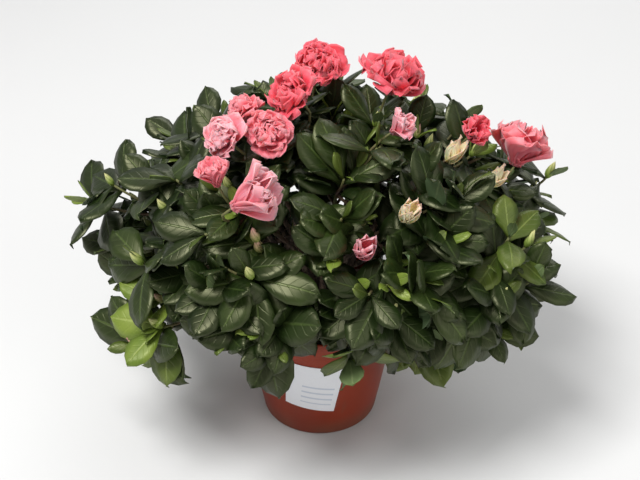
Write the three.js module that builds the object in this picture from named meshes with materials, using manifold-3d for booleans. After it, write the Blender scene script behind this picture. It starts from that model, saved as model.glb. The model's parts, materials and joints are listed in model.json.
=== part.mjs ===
// A florist's azalea in its plastic pot: a low woody shrub with a wide mound of dark leaves and double
// coral blossom. Millimetres, +Z up, the origin on the underside of the pot, on the pot's axis. -Y is the
// side the shrub is looked at from, so azimuth 270 is its front, 180 its left and 0 its right.
//
// The crown is shared out among masses of foliage. Each mass keeps to a wedge of space whose point is the
// crown's centre, and it is carried by a bough of its own. The eight boughs of the shoulder ring rise
// straight from the trunk, and every other bough leaves one of those eight.
import * as THREE from "three";
import { mergeVertices } from "three/addons/utils/BufferGeometryUtils.js";
import Module from "manifold-3d";

const wasm = await Module();
wasm.setup();

const GAP = 0.3; // clear space between two pieces that touch
const GRID = 0.002; // the fine grid on which every edge must still stand alone
const UP = new THREE.Vector3(0, 0, 1);

const POT = {
  height: 98,
  rimRadius: 60,
  baseRadius: 43.5,
  wall: 1.4,
  rimBand: 15,
  rimStep: 2.4,
  lip: 1.2,
  facets: 28,
  drainHoles: 6,
  drainRadius: 4,
  drainCircle: 33,
};
const SOIL = { edge: 81, shoulder: 83, dome: 87, wallGap: 0.8, facets: 20 };
const LABEL = { width: 40, height: 46, thickness: 0.5, azimuth: 264, middle: 52, tilt: 8, steps: 8, rows: 3 };
const TRUNK = {
  top: 116,
  flareRadius: 10.5,
  flareShare: 0.35,
  waistRadius: 7.6,
  tipRadius: 6,
  lean: [2.5, -1.5],
  bend: [-1, 0.6],
  sides: 10,
  steps: 7,
};
const BOUGH = {
  baseRadius: 3,
  tipRadius: 1.7,
  sideBaseRadius: 2.2,
  heartShare: 0.46,
  lowStart: 0.38, // the eight main boughs leave the trunk at two heights in turn
  highStart: 0.7,
  lowRise: 30,
  highRise: 40,
  siblingStep: 0.14, // a second bough of the same ring leaves its parent this much farther out
  squareness: 0.75, // how far a side bough sets off square to its parent
  bow: 0.4,
  sideBow: 0.36,
  sides: 5,
  steps: 4,
  sideSteps: 3,
};

// The crown: where the ends of the shoots lie, as half-widths from its centre.
const CROWN = { centre: 130, left: 166, right: 162, front: 130, back: 148, up: 104, down: 64 };

// Where the middles of the blooms lie, out past the leaves, as half-widths from the same centre.
const BLOSSOM = { left: 158, right: 158, front: 150, back: 150, up: 137, down: 64 };

// Rings of masses, from the top of the mound down. lift raises a ring where it comes round to the front,
// so that the pot stays in view under the leaves. stretches are how far each mass reaches past the mound,
// or falls short of it.
const RINGS = [
  {
    name: "top",
    elevation: 66,
    lift: 0,
    parentAt: 0.6,
    azimuths: [20, 110, 200, 290],
    stretches: [1.02, 1, 1, 0.96],
  },
  {
    name: "shoulder",
    elevation: 37,
    lift: 11,
    parentAt: 0,
    azimuths: [7, 52, 97, 142, 187, 232, 277, 322],
    stretches: [1.02, 0.97, 1.03, 0.98, 0.95, 1.03, 0.97, 1.02],
  },
  {
    name: "waist",
    elevation: 8,
    lift: 19,
    parentAt: 0.4,
    azimuths: [20, 58, 94, 128, 163, 203, 248, 292, 336],
    stretches: [1.07, 1, 0.96, 1.02, 1.1, 0.88, 1, 0.96, 0.93],
  },
  {
    name: "skirt",
    elevation: -11,
    lift: 0,
    parentAt: 0.2,
    azimuths: [350, 60, 110, 160, 205],
    stretches: [0.95, 1, 1.02, 0.94, 1],
  },
];

const SHOOTS = {
  count: 5,
  spread: 11.5, // degrees from the wedge's axis to the ring of outer shoots
  axisJitter: 3,
  spreadJitter: 1.5,
  bearingJitter: 14,
  shortest: 0.78,
  upTurn: 0.35,
  bow: 0.35,
};
const STEM = { radius: 1.7, share: 0.3, sway: 3, topShoot: 0.97, firstShoot: 0.35, shootStep: 0.15 };
const TWIG = { radius: 1.3, tipRadius: 1.1, steps: 2 };
const LEAF = { length: 49, width: 27, thickness: 1.1, broadest: 0.6, arch: 0.1, fewest: 4, tries: 28 };
const WHORL = {
  first: 1.6, // from the twig's end to its last leaf
  step: 4,
  spread: 58,
  opening: 7,
  fold: 12, // how much a leaf that finds no room folds up before it looks round again
  shorten: 0.08,
  swings: [0, 22, -22, 44, -44, 66, -66],
  bearingJitter: 8,
  spreadJitter: 6,
  sizeJitter: 0.1,
};
const GOLDEN = 137.508;

// Double blooms that show from a step away: where they sit on the crown and the way that they face, in
// degrees, how far out they stand as a share of the usual, and their width.
const BLOOMS = [
  { azimuth: 90, elevation: 76, out: 1.05, width: 41, facing: [60, 68] },
  { azimuth: 212, elevation: 81, out: 1.05, width: 41, facing: [215, 38] },
  { azimuth: 29, elevation: 66, out: 1.06, width: 46, facing: [310, 62] },
  { azimuth: 334, elevation: 65, out: 1.03, width: 18, facing: [320, 30] },
  { azimuth: 196, elevation: 68, out: 1.02, width: 30, facing: [195, 48] },
  { azimuth: 231, elevation: 68, out: 1, width: 34, facing: [262, 40] },
  { azimuth: 214, elevation: 59, out: 1.04, width: 32, facing: [222, 36] },
  { azimuth: 227, elevation: 49, out: 1.04, width: 22, facing: [215, 60] },
  { azimuth: 244, elevation: 51, out: 1.03, width: 38, facing: [318, 52] },
  { azimuth: 2, elevation: 38, out: 1.14, width: 42, facing: [318, 56] },
  { azimuth: 358, elevation: 46, out: 1.03, width: 20, facing: [300, 50] },
];
const BLOOM = {
  sink: 0.4,
  front: 0.62,
  back: 0.72,
  ruffle: 0.13,
  petals: 5,
  stalkAt: 0.9,
  room: 0.6,
  crowding: 0.45,
};
const POT_ROOM = { aside: 2, above: 4 }; // what leaves and twigs keep to the pot's rim
const LEAF_ROOM = 0.5;

const radians = THREE.MathUtils.degToRad;

/** A small dice of its own for each piece of the plant, so that one piece never changes another. */
class Dice {
  constructor(seed) {
    this.state = (Math.imul(seed + 1, 2654435761) ^ 0x9e3779b9) >>> 0;
  }

  /** A number from 0 to 1. */
  roll() {
    this.state ^= this.state << 13;
    this.state ^= this.state >>> 17;
    this.state ^= this.state << 5;
    this.state >>>= 0;
    return this.state / 2 ** 32;
  }

  /** A number from -size to size. */
  either(size) {
    return (2 * this.roll() - 1) * size;
  }
}

/** The unit direction at an azimuth and an elevation, in degrees. */
function heading(azimuth, elevation) {
  const flat = Math.cos(radians(elevation));
  return new THREE.Vector3(
    flat * Math.cos(radians(azimuth)),
    flat * Math.sin(radians(azimuth)),
    Math.sin(radians(elevation)),
  );
}

/** How far a form reaches from the crown's centre in a direction: the shoots' ends, unless told another. */
function reach(direction, half = CROWN) {
  const { x, y, z } = direction;
  return 1 / Math.hypot(
    x / (x < 0 ? half.left : half.right),
    y / (y < 0 ? half.front : half.back),
    z / (z < 0 ? half.down : half.up),
  );
}

const crownCentre = new THREE.Vector3(0, 0, CROWN.centre);

/** The point at a share of the crown's reach in a direction. */
function inCrown(direction, share) {
  return crownCentre.clone().addScaledVector(direction, reach(direction) * share);
}

/** Two directions square to a third, the first of them level. */
function crossAxes(axis) {
  const level = new THREE.Vector3().crossVectors(UP, axis);
  if (level.length() < 0.01) level.set(1, 0, 0);
  level.normalize();
  return [level, new THREE.Vector3().crossVectors(axis, level).normalize()];
}

/** A direction turned away from an axis by an angle, towards a bearing round it, in degrees. */
function leaning(axis, away, bearing) {
  const [level, other] = crossAxes(axis);
  const side = level
    .multiplyScalar(Math.cos(radians(bearing)))
    .addScaledVector(other, Math.sin(radians(bearing)));
  return axis.clone().multiplyScalar(Math.cos(radians(away))).addScaledVector(side, Math.sin(radians(away)));
}

/** A closed manifold solid from a three.js geometry. */
function solidOf(geometry) {
  const bare = geometry.clone();
  bare.deleteAttribute("normal");
  bare.deleteAttribute("uv");
  const merged = mergeVertices(bare, 1e-4);
  return new wasm.Manifold(
    new wasm.Mesh({
      numProp: 3,
      vertProperties: new Float32Array(merged.attributes.position.array),
      triVerts: new Uint32Array(merged.index.array),
    }),
  );
}

/** A three.js geometry from a manifold solid. */
function geometryOf(solid) {
  const mesh = solid.getMesh();
  const geometry = new THREE.BufferGeometry();
  geometry.setAttribute("position", new THREE.BufferAttribute(mesh.vertProperties, 3));
  geometry.setIndex(new THREE.BufferAttribute(mesh.triVerts, 1));
  geometry.computeVertexNormals();
  return geometry;
}

/** The largest body of a solid: loose scraps are dropped and sealed hollows filled. */
function wholeBody(solid) {
  return solid.decompose().reduce((most, body) => (body.volume() > most.volume() ? body : most));
}

/** Whether a solid keeps its shape on the fine grid: no edge closes up and no two edges become one. */
function isSound(solid) {
  const { vertProperties, triVerts } = solid.getMesh();
  const label = (corner) =>
    [0, 1, 2].map((axis) => Math.round(vertProperties[3 * corner + axis] / GRID)).join();
  const uses = new Map();
  for (let i = 0; i < triVerts.length; i += 3) {
    const corners = [...triVerts.slice(i, i + 3)].map(label);
    for (let k = 0; k < 3; k++) {
      const edge = [corners[k], corners[(k + 1) % 3]].sort();
      if (edge[0] === edge[1]) return false;
      uses.set(edge.join(), (uses.get(edge.join()) ?? 0) + 1);
    }
  }
  return [...uses.values()].every((count) => count === 2);
}

/** Solids joined into one. */
function joined(solids) {
  return solids.reduce((sum, solid) => sum.add(solid));
}

/** Moves every vertex of a geometry by a rule that takes and returns a vector. */
function reshape(geometry, rule) {
  const places = geometry.attributes.position;
  const point = new THREE.Vector3();
  for (let i = 0; i < places.count; i++) {
    point.fromBufferAttribute(places, i);
    const moved = rule(point);
    places.setXYZ(i, moved.x, moved.y, moved.z);
  }
  return geometry;
}

/** A tapering limb along a curve: a cylinder bent along it, its radius given at each share of its length. */
function limb(curve, radiusAt, sides, steps) {
  const frames = curve.computeFrenetFrames(steps, false);
  return reshape(new THREE.CylinderGeometry(1, 1, 1, sides, steps), (point) => {
    const share = point.y + 0.5;
    const step = Math.round(share * steps);
    const radius = radiusAt(share);
    return curve
      .getPointAt(THREE.MathUtils.clamp(share, 0, 1))
      .clone()
      .addScaledVector(frames.binormals[step], point.x * radius)
      .addScaledVector(frames.normals[step], point.z * radius);
  });
}

/** A place on the axis of a limb made in straight steps, at a share of its length, and its heading there. */
function onLimb(curve, steps, share) {
  const step = Math.min(Math.floor(share * steps), steps - 1);
  const from = curve.getPointAt(step / steps);
  const to = curve.getPointAt((step + 1) / steps);
  return { place: from.clone().lerp(to, share * steps - step), aim: to.clone().sub(from).normalize() };
}

/** A closed lathe turned about +Z from [radius, height] pairs that run anticlockwise. */
function turned(profile, facets) {
  const points = profile.map(([radius, height]) => new THREE.Vector2(radius, height));
  return new THREE.LatheGeometry(points, facets).rotateX(Math.PI / 2);
}

/** The pot's outer radius at a height, on its plain wall under the rim band. */
function potRadius(height) {
  const underRim = POT.rimRadius - POT.rimStep;
  return THREE.MathUtils.lerp(POT.baseRadius, underRim, height / (POT.height - POT.rimBand));
}

/** The thin-walled pot: a tapering wall, a stepped rim band with a turned lip, and drain holes. */
function makePot() {
  const { height, rimRadius, baseRadius, wall, rimBand, lip } = POT;
  const bandFoot = height - rimBand;
  const shell = solidOf(
    turned(
      [
        [0, 0],
        [baseRadius - 2, 0],
        [baseRadius, 2],
        [potRadius(bandFoot), bandFoot],
        [rimRadius - 1, bandFoot + 1.2],
        [rimRadius, height - 2.4],
        [rimRadius - 0.6, height],
        [rimRadius - wall - lip, height],
        [rimRadius - wall - 1, bandFoot + 1],
        [potRadius(bandFoot) - wall, bandFoot - 1],
        [baseRadius - wall, 2 + wall],
        [baseRadius - wall - 2, wall],
        [0, wall],
      ],
      POT.facets,
    ),
  );
  const holes = Array.from({ length: POT.drainHoles }, (_, i) => {
    const turn = (2 * Math.PI * i) / POT.drainHoles;
    const drill = new THREE.CylinderGeometry(POT.drainRadius, POT.drainRadius, 6 * wall, 10);
    drill.rotateX(Math.PI / 2);
    drill.translate(POT.drainCircle * Math.cos(turn), POT.drainCircle * Math.sin(turn), 0);
    return solidOf(drill);
  });
  return holes.reduce((pot, hole) => pot.subtract(hole), shell);
}

/** The potting soil, which fills the pot and is a little domed. */
function makeSoil() {
  const foot = POT.wall + GAP;
  const wallGap = POT.wall + GAP + SOIL.wallGap;
  const edge = potRadius(SOIL.edge) - wallGap;
  return solidOf(
    turned(
      [
        [0, foot],
        [POT.baseRadius - wallGap - 2.5, foot],
        [potRadius(5) - wallGap, 5],
        [edge - 1.5, SOIL.edge],
        [edge - 3, SOIL.shoulder],
        [30, SOIL.dome - 1.5],
        [12, SOIL.dome],
        [0, SOIL.dome],
      ],
      SOIL.facets,
    ),
  );
}

/** The blank sticker, bent round the pot's wall under the rim band. */
function makeLabel() {
  const { width, height, thickness, azimuth, middle, tilt, steps, rows } = LABEL;
  const sheet = new THREE.BoxGeometry(width, thickness, height, steps, 1, rows);
  sheet.rotateY(radians(tilt));
  return solidOf(
    reshape(sheet, (point) => {
      const up = middle + point.z;
      const out = potRadius(up) + GAP + thickness / 2 - point.y;
      const turn = radians(azimuth) + point.x / potRadius(middle);
      return new THREE.Vector3(out * Math.cos(turn), out * Math.sin(turn), up);
    }),
  );
}

/** The line of the trunk, from its flat cut on the soil to its fork. */
function trunkLine() {
  const foot = new THREE.Vector3(0, 0, SOIL.dome + GAP);
  const fork = new THREE.Vector3(...TRUNK.lean, TRUNK.top);
  const middle = foot.clone().lerp(fork, 0.5).add(new THREE.Vector3(...TRUNK.bend, 0));
  return new THREE.CatmullRomCurve3([foot, middle, fork]);
}

/** The trunk's radius at a share of its height: a root flare, then a gentle taper. */
function trunkRadius(share) {
  const flare = (TRUNK.flareRadius - TRUNK.waistRadius) * Math.max(0, 1 - share / TRUNK.flareShare) ** 2;
  return THREE.MathUtils.lerp(TRUNK.waistRadius, TRUNK.tipRadius, share) + flare;
}

/** The trunk's geometry, grown outwards by a clearance. */
function trunkSolid(grown) {
  return solidOf(limb(trunkLine(), (share) => trunkRadius(share) + grown, TRUNK.sides, TRUNK.steps));
}

/** Each mass: its name, the axis of its wedge and where its bough ends. */
function planMasses() {
  const masses = [];
  for (const ring of RINGS) {
    for (const [i, azimuth] of ring.azimuths.entries()) {
      const front = Math.max(0, -Math.sin(radians(azimuth)));
      const axis = heading(azimuth, ring.elevation + ring.lift * front * front);
      masses.push({
        name: `${ring.name}_${i + 1}`,
        ring,
        azimuth,
        axis,
        seed: masses.length + 1,
        stretch: ring.stretches[i],
        heart: inCrown(axis, BOUGH.heartShare),
      });
    }
  }
  return masses;
}

const masses = planMasses();
const mainMasses = masses.filter((mass) => mass.ring.name === "shoulder");

/** The line of a bough that rises from the trunk. */
function mainBoughLine(mass, order) {
  const low = order % 2 === 0;
  const start = trunkLine().getPointAt(low ? BOUGH.lowStart : BOUGH.highStart);
  const setOff = heading(mass.azimuth, low ? BOUGH.lowRise : BOUGH.highRise);
  const bow = mass.heart.distanceTo(start) * BOUGH.bow;
  return new THREE.CubicBezierCurve3(
    start,
    start.clone().addScaledVector(setOff, bow),
    mass.heart.clone().addScaledVector(mass.axis, -bow),
    mass.heart.clone(),
  );
}

/** The turn between two azimuths, in degrees from 0 to 180. */
function turnBetween(a, b) {
  const turn = (((a - b) % 360) + 360) % 360;
  return Math.min(turn, 360 - turn);
}

/** The line of a bough that leaves a main bough at a share of its length, square to it at first. */
function sideBoughLine(mass, parentLine, share) {
  const start = parentLine.getPointAt(share);
  const along = parentLine.getTangentAt(share);
  const towards = mass.heart.clone().sub(start);
  const setOff = towards.clone().addScaledVector(along, -BOUGH.squareness * towards.dot(along)).normalize();
  const bow = towards.length() * BOUGH.sideBow;
  return new THREE.CubicBezierCurve3(
    start,
    start.clone().addScaledVector(setOff, bow),
    mass.heart.clone().addScaledVector(mass.axis, -bow),
    mass.heart.clone(),
  );
}

/** The boughs, in the order of the masses they carry: each with its line and its taper. */
function planBoughs() {
  mainMasses.forEach((mass, order) => {
    mass.bough = {
      line: mainBoughLine(mass, order),
      base: BOUGH.baseRadius,
      parent: null,
    };
  });
  for (const mass of masses) {
    if (mass.bough) continue;
    const parent = mainMasses.reduce((best, main) =>
      turnBetween(main.azimuth, mass.azimuth) < turnBetween(best.azimuth, mass.azimuth) ? main : best,
    );
    const fromParent = masses.filter((other) => other.bough?.parent === parent.bough);
    const siblings = fromParent.filter((other) => other.ring === mass.ring);
    const share = mass.ring.parentAt + BOUGH.siblingStep * siblings.length;
    mass.bough = {
      line: sideBoughLine(mass, parent.bough.line, share),
      base: BOUGH.sideBaseRadius,
      parent: parent.bough,
    };
  }
}

planBoughs();

/** A bough's radius at a share of its length. */
function boughRadius(bough, share) {
  return THREE.MathUtils.lerp(bough.base, BOUGH.tipRadius, share);
}

/** A bough's solid, grown outwards by a clearance. */
function boughSolid(bough, grown) {
  const steps = bough.parent ? BOUGH.sideSteps : BOUGH.steps;
  return solidOf(limb(bough.line, (share) => boughRadius(bough, share) + grown, BOUGH.sides, steps));
}

/** A bough, cut clear of what it grows from. */
function makeBough(mass) {
  const whole = boughSolid(mass.bough, 0);
  const carrier = mass.bough.parent ? boughSolid(mass.bough.parent, GAP) : trunkSolid(GAP);
  return wholeBody(whole.subtract(carrier));
}

/** The trunk and every bough, grown by the gap that leaves and twigs keep to them. */
const limbs = joined([trunkSolid(GAP), ...masses.map((mass) => boughSolid(mass.bough, GAP))]);

/** The ends of a mass's shoots: one on its axis and the rest in a ring round it. */
function planShoots(mass) {
  const dice = new Dice(100 * mass.seed);
  const phase = 360 * dice.roll();
  const shoots = [];
  for (let k = 0; k < SHOOTS.count; k++) {
    const away = k === 0 ? dice.roll() * SHOOTS.axisJitter : SHOOTS.spread + dice.either(SHOOTS.spreadJitter);
    const bearing = phase + (360 * k) / (SHOOTS.count - 1) + dice.either(SHOOTS.bearingJitter);
    const direction = leaning(mass.axis, away, bearing);
    const share = k === 0 ? 1 : THREE.MathUtils.lerp(SHOOTS.shortest, 1, dice.roll());
    shoots.push({
      end: inCrown(direction, share * mass.stretch),
      aim: direction.clone().addScaledVector(UP, SHOOTS.upTurn).normalize(),
      seed: 100 * mass.seed + 10 * (k + 1),
    });
  }
  return shoots;
}

/** The stem inside a mass, which carries on from its bough's tip. */
function stemLine(mass) {
  const start = mass.heart.clone().addScaledVector(mass.axis, GAP);
  const length = reach(mass.axis) * STEM.share;
  const sway = new Dice(100 * mass.seed + 7);
  const end = start.clone().addScaledVector(mass.axis, length);
  end.add(new THREE.Vector3(sway.either(STEM.sway), sway.either(STEM.sway), sway.either(STEM.sway)));
  return new THREE.LineCurve3(start, end);
}

/** A shoot's line: it leaves the stem part way up and turns to its aim. */
function shootLine(mass, shoot, order) {
  const stem = stemLine(mass);
  const start = stem.getPoint(order === 0 ? STEM.topShoot : STEM.firstShoot + STEM.shootStep * order);
  const bow = start.distanceTo(shoot.end) * SHOOTS.bow;
  return new THREE.QuadraticBezierCurve3(
    start,
    shoot.end.clone().addScaledVector(shoot.aim, -bow),
    shoot.end.clone(),
  );
}

/** The mass whose axis is nearest to a direction. */
function nearestMass(direction) {
  return masses.reduce((best, mass) => (mass.axis.dot(direction) > best.axis.dot(direction) ? mass : best));
}

/** Where each bloom sits, which mass carries it, and the stalk that it stands on. */
function planBlooms() {
  return BLOOMS.map((bloom, i) => {
    const direction = heading(bloom.azimuth, bloom.elevation);
    const mass = nearestMass(direction);
    const sunk = bloom.width * BLOOM.sink;
    const centre = crownCentre.clone().addScaledVector(direction, reach(direction, BLOSSOM) * bloom.out);
    const aim = heading(...bloom.facing);
    const foot = centre.clone().addScaledVector(aim, -sunk);
    const start = stemLine(mass).getPoint(BLOOM.stalkAt);
    const stalk = new THREE.QuadraticBezierCurve3(
      start,
      foot.clone().addScaledVector(aim, -start.distanceTo(foot) * SHOOTS.bow),
      centre.clone(),
    );
    return { ...bloom, centre, aim, mass, stalk, order: i };
  });
}

const blooms = planBlooms();

/** A bloom's head: a ball flattened from behind, its edge thrown into ruffles. */
function bloomHead(bloom) {
  const [level, other] = crossAxes(bloom.aim);
  const half = bloom.width / 2;
  const head = new THREE.IcosahedronGeometry(1, 1);
  return solidOf(
    reshape(head, (point) => {
      const turn = Math.atan2(point.y, point.x);
      const edge = Math.hypot(point.x, point.y);
      const ruffle = 1 + BLOOM.ruffle * edge * Math.cos(BLOOM.petals * turn + bloom.order);
      const depth = point.z * (point.z < 0 ? BLOOM.back : BLOOM.front);
      return bloom.centre
        .clone()
        .addScaledVector(level, point.x * half * ruffle)
        .addScaledVector(other, point.y * half * ruffle)
        .addScaledVector(bloom.aim, depth * half);
    }),
  );
}

/** Whether a point keeps a clearance to every wedge but its own mass's. */
function insideWedge(mass, point) {
  const from = point.clone().sub(crownCentre);
  return masses.every((other) => {
    if (other === mass) return true;
    const across = mass.axis.clone().sub(other.axis);
    return from.dot(across) / across.length() > GAP;
  });
}

/** Whether a point with a radius round it touches the pot, the soil or another mass's bloom. */
function touchesOthers(mass, point, radius) {
  const overPot = Math.hypot(point.x, point.y) < POT.rimRadius + POT_ROOM.aside;
  if (overPot && point.z < POT.height + POT_ROOM.above) return true;
  return blooms.some((bloom) => {
    if (bloom.mass === mass) return false;
    if (bloom.centre.distanceTo(point) < bloom.width * BLOOM.room + radius) return true;
    return bloomStalkBeads(bloom).some((bead) => bead.distanceTo(point) < TWIG.radius + radius + 1);
  });
}

/** Points along a bloom's stalk. */
function bloomStalkBeads(bloom) {
  bloom.beads ??= bloom.stalk.getSpacedPoints(16);
  return bloom.beads;
}

/** A leaf's five corners, from its root along a direction, with its upper side towards a third. */
function leafCorners(root, along, upper, length, width) {
  const across = new THREE.Vector3().crossVectors(along, upper).normalize();
  const over = new THREE.Vector3().crossVectors(across, along).normalize();
  const middle = root
    .clone()
    .addScaledVector(along, length * LEAF.broadest)
    .addScaledVector(over, length * LEAF.arch);
  return {
    root,
    tip: root.clone().addScaledVector(along, length),
    right: middle.clone().addScaledVector(across, width / 2),
    left: middle.clone().addScaledVector(across, -width / 2),
    under: middle.clone().addScaledVector(over, -LEAF.thickness),
  };
}

/** Places along a leaf's edges and middle, for telling how near it comes to something. */
function leafSamples(corners) {
  const { root, tip, right, left, under } = corners;
  const places = [root, tip, right, left, under];
  for (const corner of [right, left, under]) {
    places.push(corner.clone().lerp(tip, 0.5), corner.clone().lerp(root, 0.5));
  }
  return places;
}

/** The leaf's solid of six faces: two above, folded across its middle, and four below. */
function leafSolid(corners) {
  const { root, tip, right, left, under } = corners;
  const blade = new THREE.BufferGeometry();
  const faces = [
    [root, right, left],
    [tip, left, right],
    [root, left, under],
    [left, tip, under],
    [tip, right, under],
    [right, root, under],
  ];
  blade.setFromPoints(faces.flat());
  blade.setIndex(faces.flat().map((_, i) => i));
  return solidOf(blade);
}

/**
 * One leaf of a whorl: it folds up, swings round and shortens until it keeps to its space and passes
 * through nothing that has grown already. A leaf that finds no room is left out.
 */
function fittedLeaf(mass, twig, root, aim, bearing, spread, size, grown) {
  for (let attempt = 0; attempt < LEAF.tries; attempt++) {
    const round = Math.floor(attempt / WHORL.swings.length);
    const swing = WHORL.swings[attempt % WHORL.swings.length];
    const along = leaning(aim, spread - WHORL.fold * round, bearing + swing);
    const length = LEAF.length * size * (1 - WHORL.shorten * round);
    const width = LEAF.width * size * (1 - WHORL.shorten * round);
    const corners = leafCorners(root, along, aim, length, width);
    const places = leafSamples(corners);
    if (!places.every((place) => insideWedge(mass, place))) continue;
    if (places.some((place) => touchesOthers(mass, place, LEAF_ROOM))) continue;
    const leaf = leafSolid(corners);
    if (grown.some((solid) => !solid.intersect(leaf).isEmpty())) continue;
    if (isSound(twig.add(leaf))) return leaf;
  }
  return null;
}

/** The whorl of leaves round the end of a shoot, each clear of what has grown in the mass so far. */
function whorl(mass, shoot, grown) {
  const dice = new Dice(shoot.seed);
  const start = 360 * dice.roll();
  const length = shoot.line.getLength();
  const leaves = [];
  const count = LEAF.fewest + Math.round(dice.roll());
  for (let i = 0; i < count; i++) {
    const share = Math.max(0, 1 - (WHORL.first + WHORL.step * i) / length);
    const bearing = start + GOLDEN * i + dice.either(WHORL.bearingJitter);
    const spread = WHORL.spread + WHORL.opening * i + dice.either(WHORL.spreadJitter);
    const size = 1 + dice.either(WHORL.sizeJitter);
    const { place, aim } = onLimb(shoot.line, TWIG.steps, share);
    const leaf = fittedLeaf(mass, shoot.twig, place, aim, bearing, spread, size, [...grown, ...leaves]);
    if (leaf) leaves.push(leaf);
  }
  return leaves;
}

/** Whether a twig keeps to its mass's space and clear of the limbs. */
function twigFits(mass, shoot) {
  const clear = shoot.line
    .getSpacedPoints(10)
    .slice(2)
    .every((point) => insideWedge(mass, point) && !touchesOthers(mass, point, TWIG.radius));
  return clear && shoot.twig.intersect(limbs).isEmpty();
}

/** Whether a bloom stands where a shoot would end. */
function crowded(shoot) {
  return blooms.some((bloom) => bloom.centre.distanceTo(shoot.end) < bloom.width * BLOOM.crowding);
}

/** A twig's solid along its line, three-sided. */
function twigSolid(line) {
  const taper = (share) => THREE.MathUtils.lerp(TWIG.radius, TWIG.tipRadius, share);
  return solidOf(limb(line, taper, 3, TWIG.steps));
}

/** A mass of foliage: its stem, its shoots with their whorls, and its blooms, joined into one body. */
function makeMass(mass) {
  const stemTaper = (share) => THREE.MathUtils.lerp(STEM.radius, TWIG.radius, share);
  const stem = solidOf(limb(stemLine(mass), stemTaper, 3, 1));
  const shoots = planShoots(mass)
    .map((shoot, order) => ({ ...shoot, line: shootLine(mass, shoot, order) }))
    .map((shoot) => ({ ...shoot, twig: twigSolid(shoot.line) }))
    .filter((shoot) => twigFits(mass, shoot))
    .filter((shoot) => !crowded(shoot));
  const ownBlooms = blooms
    .filter((bloom) => bloom.mass === mass)
    .flatMap((bloom) => [twigSolid(bloom.stalk), bloomHead(bloom)]);
  const leaves = [];
  for (const shoot of shoots) {
    const otherTwigs = shoots.filter((other) => other !== shoot).map((other) => other.twig);
    leaves.push(...whorl(mass, shoot, [limbs, stem, ...otherTwigs, ...ownBlooms, ...leaves]));
  }
  return wholeBody(joined([stem, ...shoots.map((shoot) => shoot.twig), ...ownBlooms, ...leaves]));
}

const plastic = new THREE.MeshStandardMaterial({ color: 0xa8452c, roughness: 0.45, metalness: 0 });
const peat = new THREE.MeshStandardMaterial({ color: 0x2b1d14, roughness: 0.95, metalness: 0 });
const paper = new THREE.MeshStandardMaterial({ color: 0xeeeef0, roughness: 0.55, metalness: 0 });
const bark = new THREE.MeshStandardMaterial({ color: 0x5c4431, roughness: 0.9, metalness: 0 });
const foliage = new THREE.MeshStandardMaterial({ color: 0x2c4426, roughness: 0.5, metalness: 0 });

/** A named mesh from a solid. */
function piece(name, solid, material) {
  const mesh = new THREE.Mesh(geometryOf(solid), material);
  mesh.name = name;
  return mesh;
}

const azalea = new THREE.Group();
azalea.add(
  piece("pot", makePot(), plastic),
  piece("soil", makeSoil(), peat),
  piece("label", makeLabel(), paper),
  piece("trunk", trunkSolid(0), bark),
);
for (const mass of masses) {
  azalea.add(piece(`bough_${mass.name}`, makeBough(mass), bark));
  azalea.add(piece(`foliage_${mass.name}`, makeMass(mass), foliage));
}

export default azalea;
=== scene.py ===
"""A florist's azalea in its plastic pot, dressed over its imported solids.

The limbs, stems and first shoots are worked out again by the rule that the solids grew by, from the same
named sizes, and are carried on to finer twigs, life-size leaves, buds and layered blossom. Plans are in
millimetres; meshes are in metres.
"""

import json
import logging
import math
from bisect import bisect_right
from dataclasses import dataclass, field
from enum import Enum
from typing import Callable, Iterable, Sequence

import bpy
import numpy as np
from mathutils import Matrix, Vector, noise

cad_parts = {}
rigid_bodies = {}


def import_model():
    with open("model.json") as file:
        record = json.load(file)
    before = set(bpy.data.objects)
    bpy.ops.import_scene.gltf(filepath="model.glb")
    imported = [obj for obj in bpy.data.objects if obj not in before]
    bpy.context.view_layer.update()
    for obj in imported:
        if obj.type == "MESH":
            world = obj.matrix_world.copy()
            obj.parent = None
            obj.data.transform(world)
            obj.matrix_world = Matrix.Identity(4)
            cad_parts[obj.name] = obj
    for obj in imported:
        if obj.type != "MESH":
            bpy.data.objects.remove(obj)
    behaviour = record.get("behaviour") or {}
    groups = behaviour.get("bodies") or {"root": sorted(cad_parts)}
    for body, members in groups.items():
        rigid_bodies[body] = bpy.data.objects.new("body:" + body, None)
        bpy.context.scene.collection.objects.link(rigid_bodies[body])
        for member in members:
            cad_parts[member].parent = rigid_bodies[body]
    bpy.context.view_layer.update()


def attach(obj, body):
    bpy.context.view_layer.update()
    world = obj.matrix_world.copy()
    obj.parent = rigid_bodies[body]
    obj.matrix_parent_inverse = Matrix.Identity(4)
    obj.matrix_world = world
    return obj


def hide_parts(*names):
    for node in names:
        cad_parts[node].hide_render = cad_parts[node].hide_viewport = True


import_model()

LOG = logging.getLogger("azalea")
MM = 0.001
BODY = "root"
UP = Vector((0.0, 0.0, 1.0))
GOLDEN_TURN = 137.508
NEARLY_UPRIGHT = 0.01


# Sums that the whole plant shares


class Dice:
    """A small seeded dice, one for each piece of the plant, that rolls as the solids' own dice does."""

    def __init__(self, seed: int) -> None:
        """Starts the dice. Args: seed: a whole number of the piece's own."""
        self.state = (((seed + 1) * 2654435761) & 0xFFFFFFFF) ^ 0x9E3779B9

    def roll(self) -> float:
        """Rolls the dice once.

        Returns:
            A number from 0 to 1.
        """
        self.state ^= (self.state << 13) & 0xFFFFFFFF
        self.state ^= self.state >> 17
        self.state ^= (self.state << 5) & 0xFFFFFFFF
        return self.state / 2**32

    def either(self, size: float) -> float:
        """Returns a number from -size to size."""
        return (2 * self.roll() - 1) * size

    def between(self, low: float, high: float) -> float:
        """Returns a number from low to high."""
        return low + (high - low) * self.roll()


def lerp(first: float, last: float, share: float) -> float:
    """Returns the number at a share of the way between two."""
    return first + (last - first) * share


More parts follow.
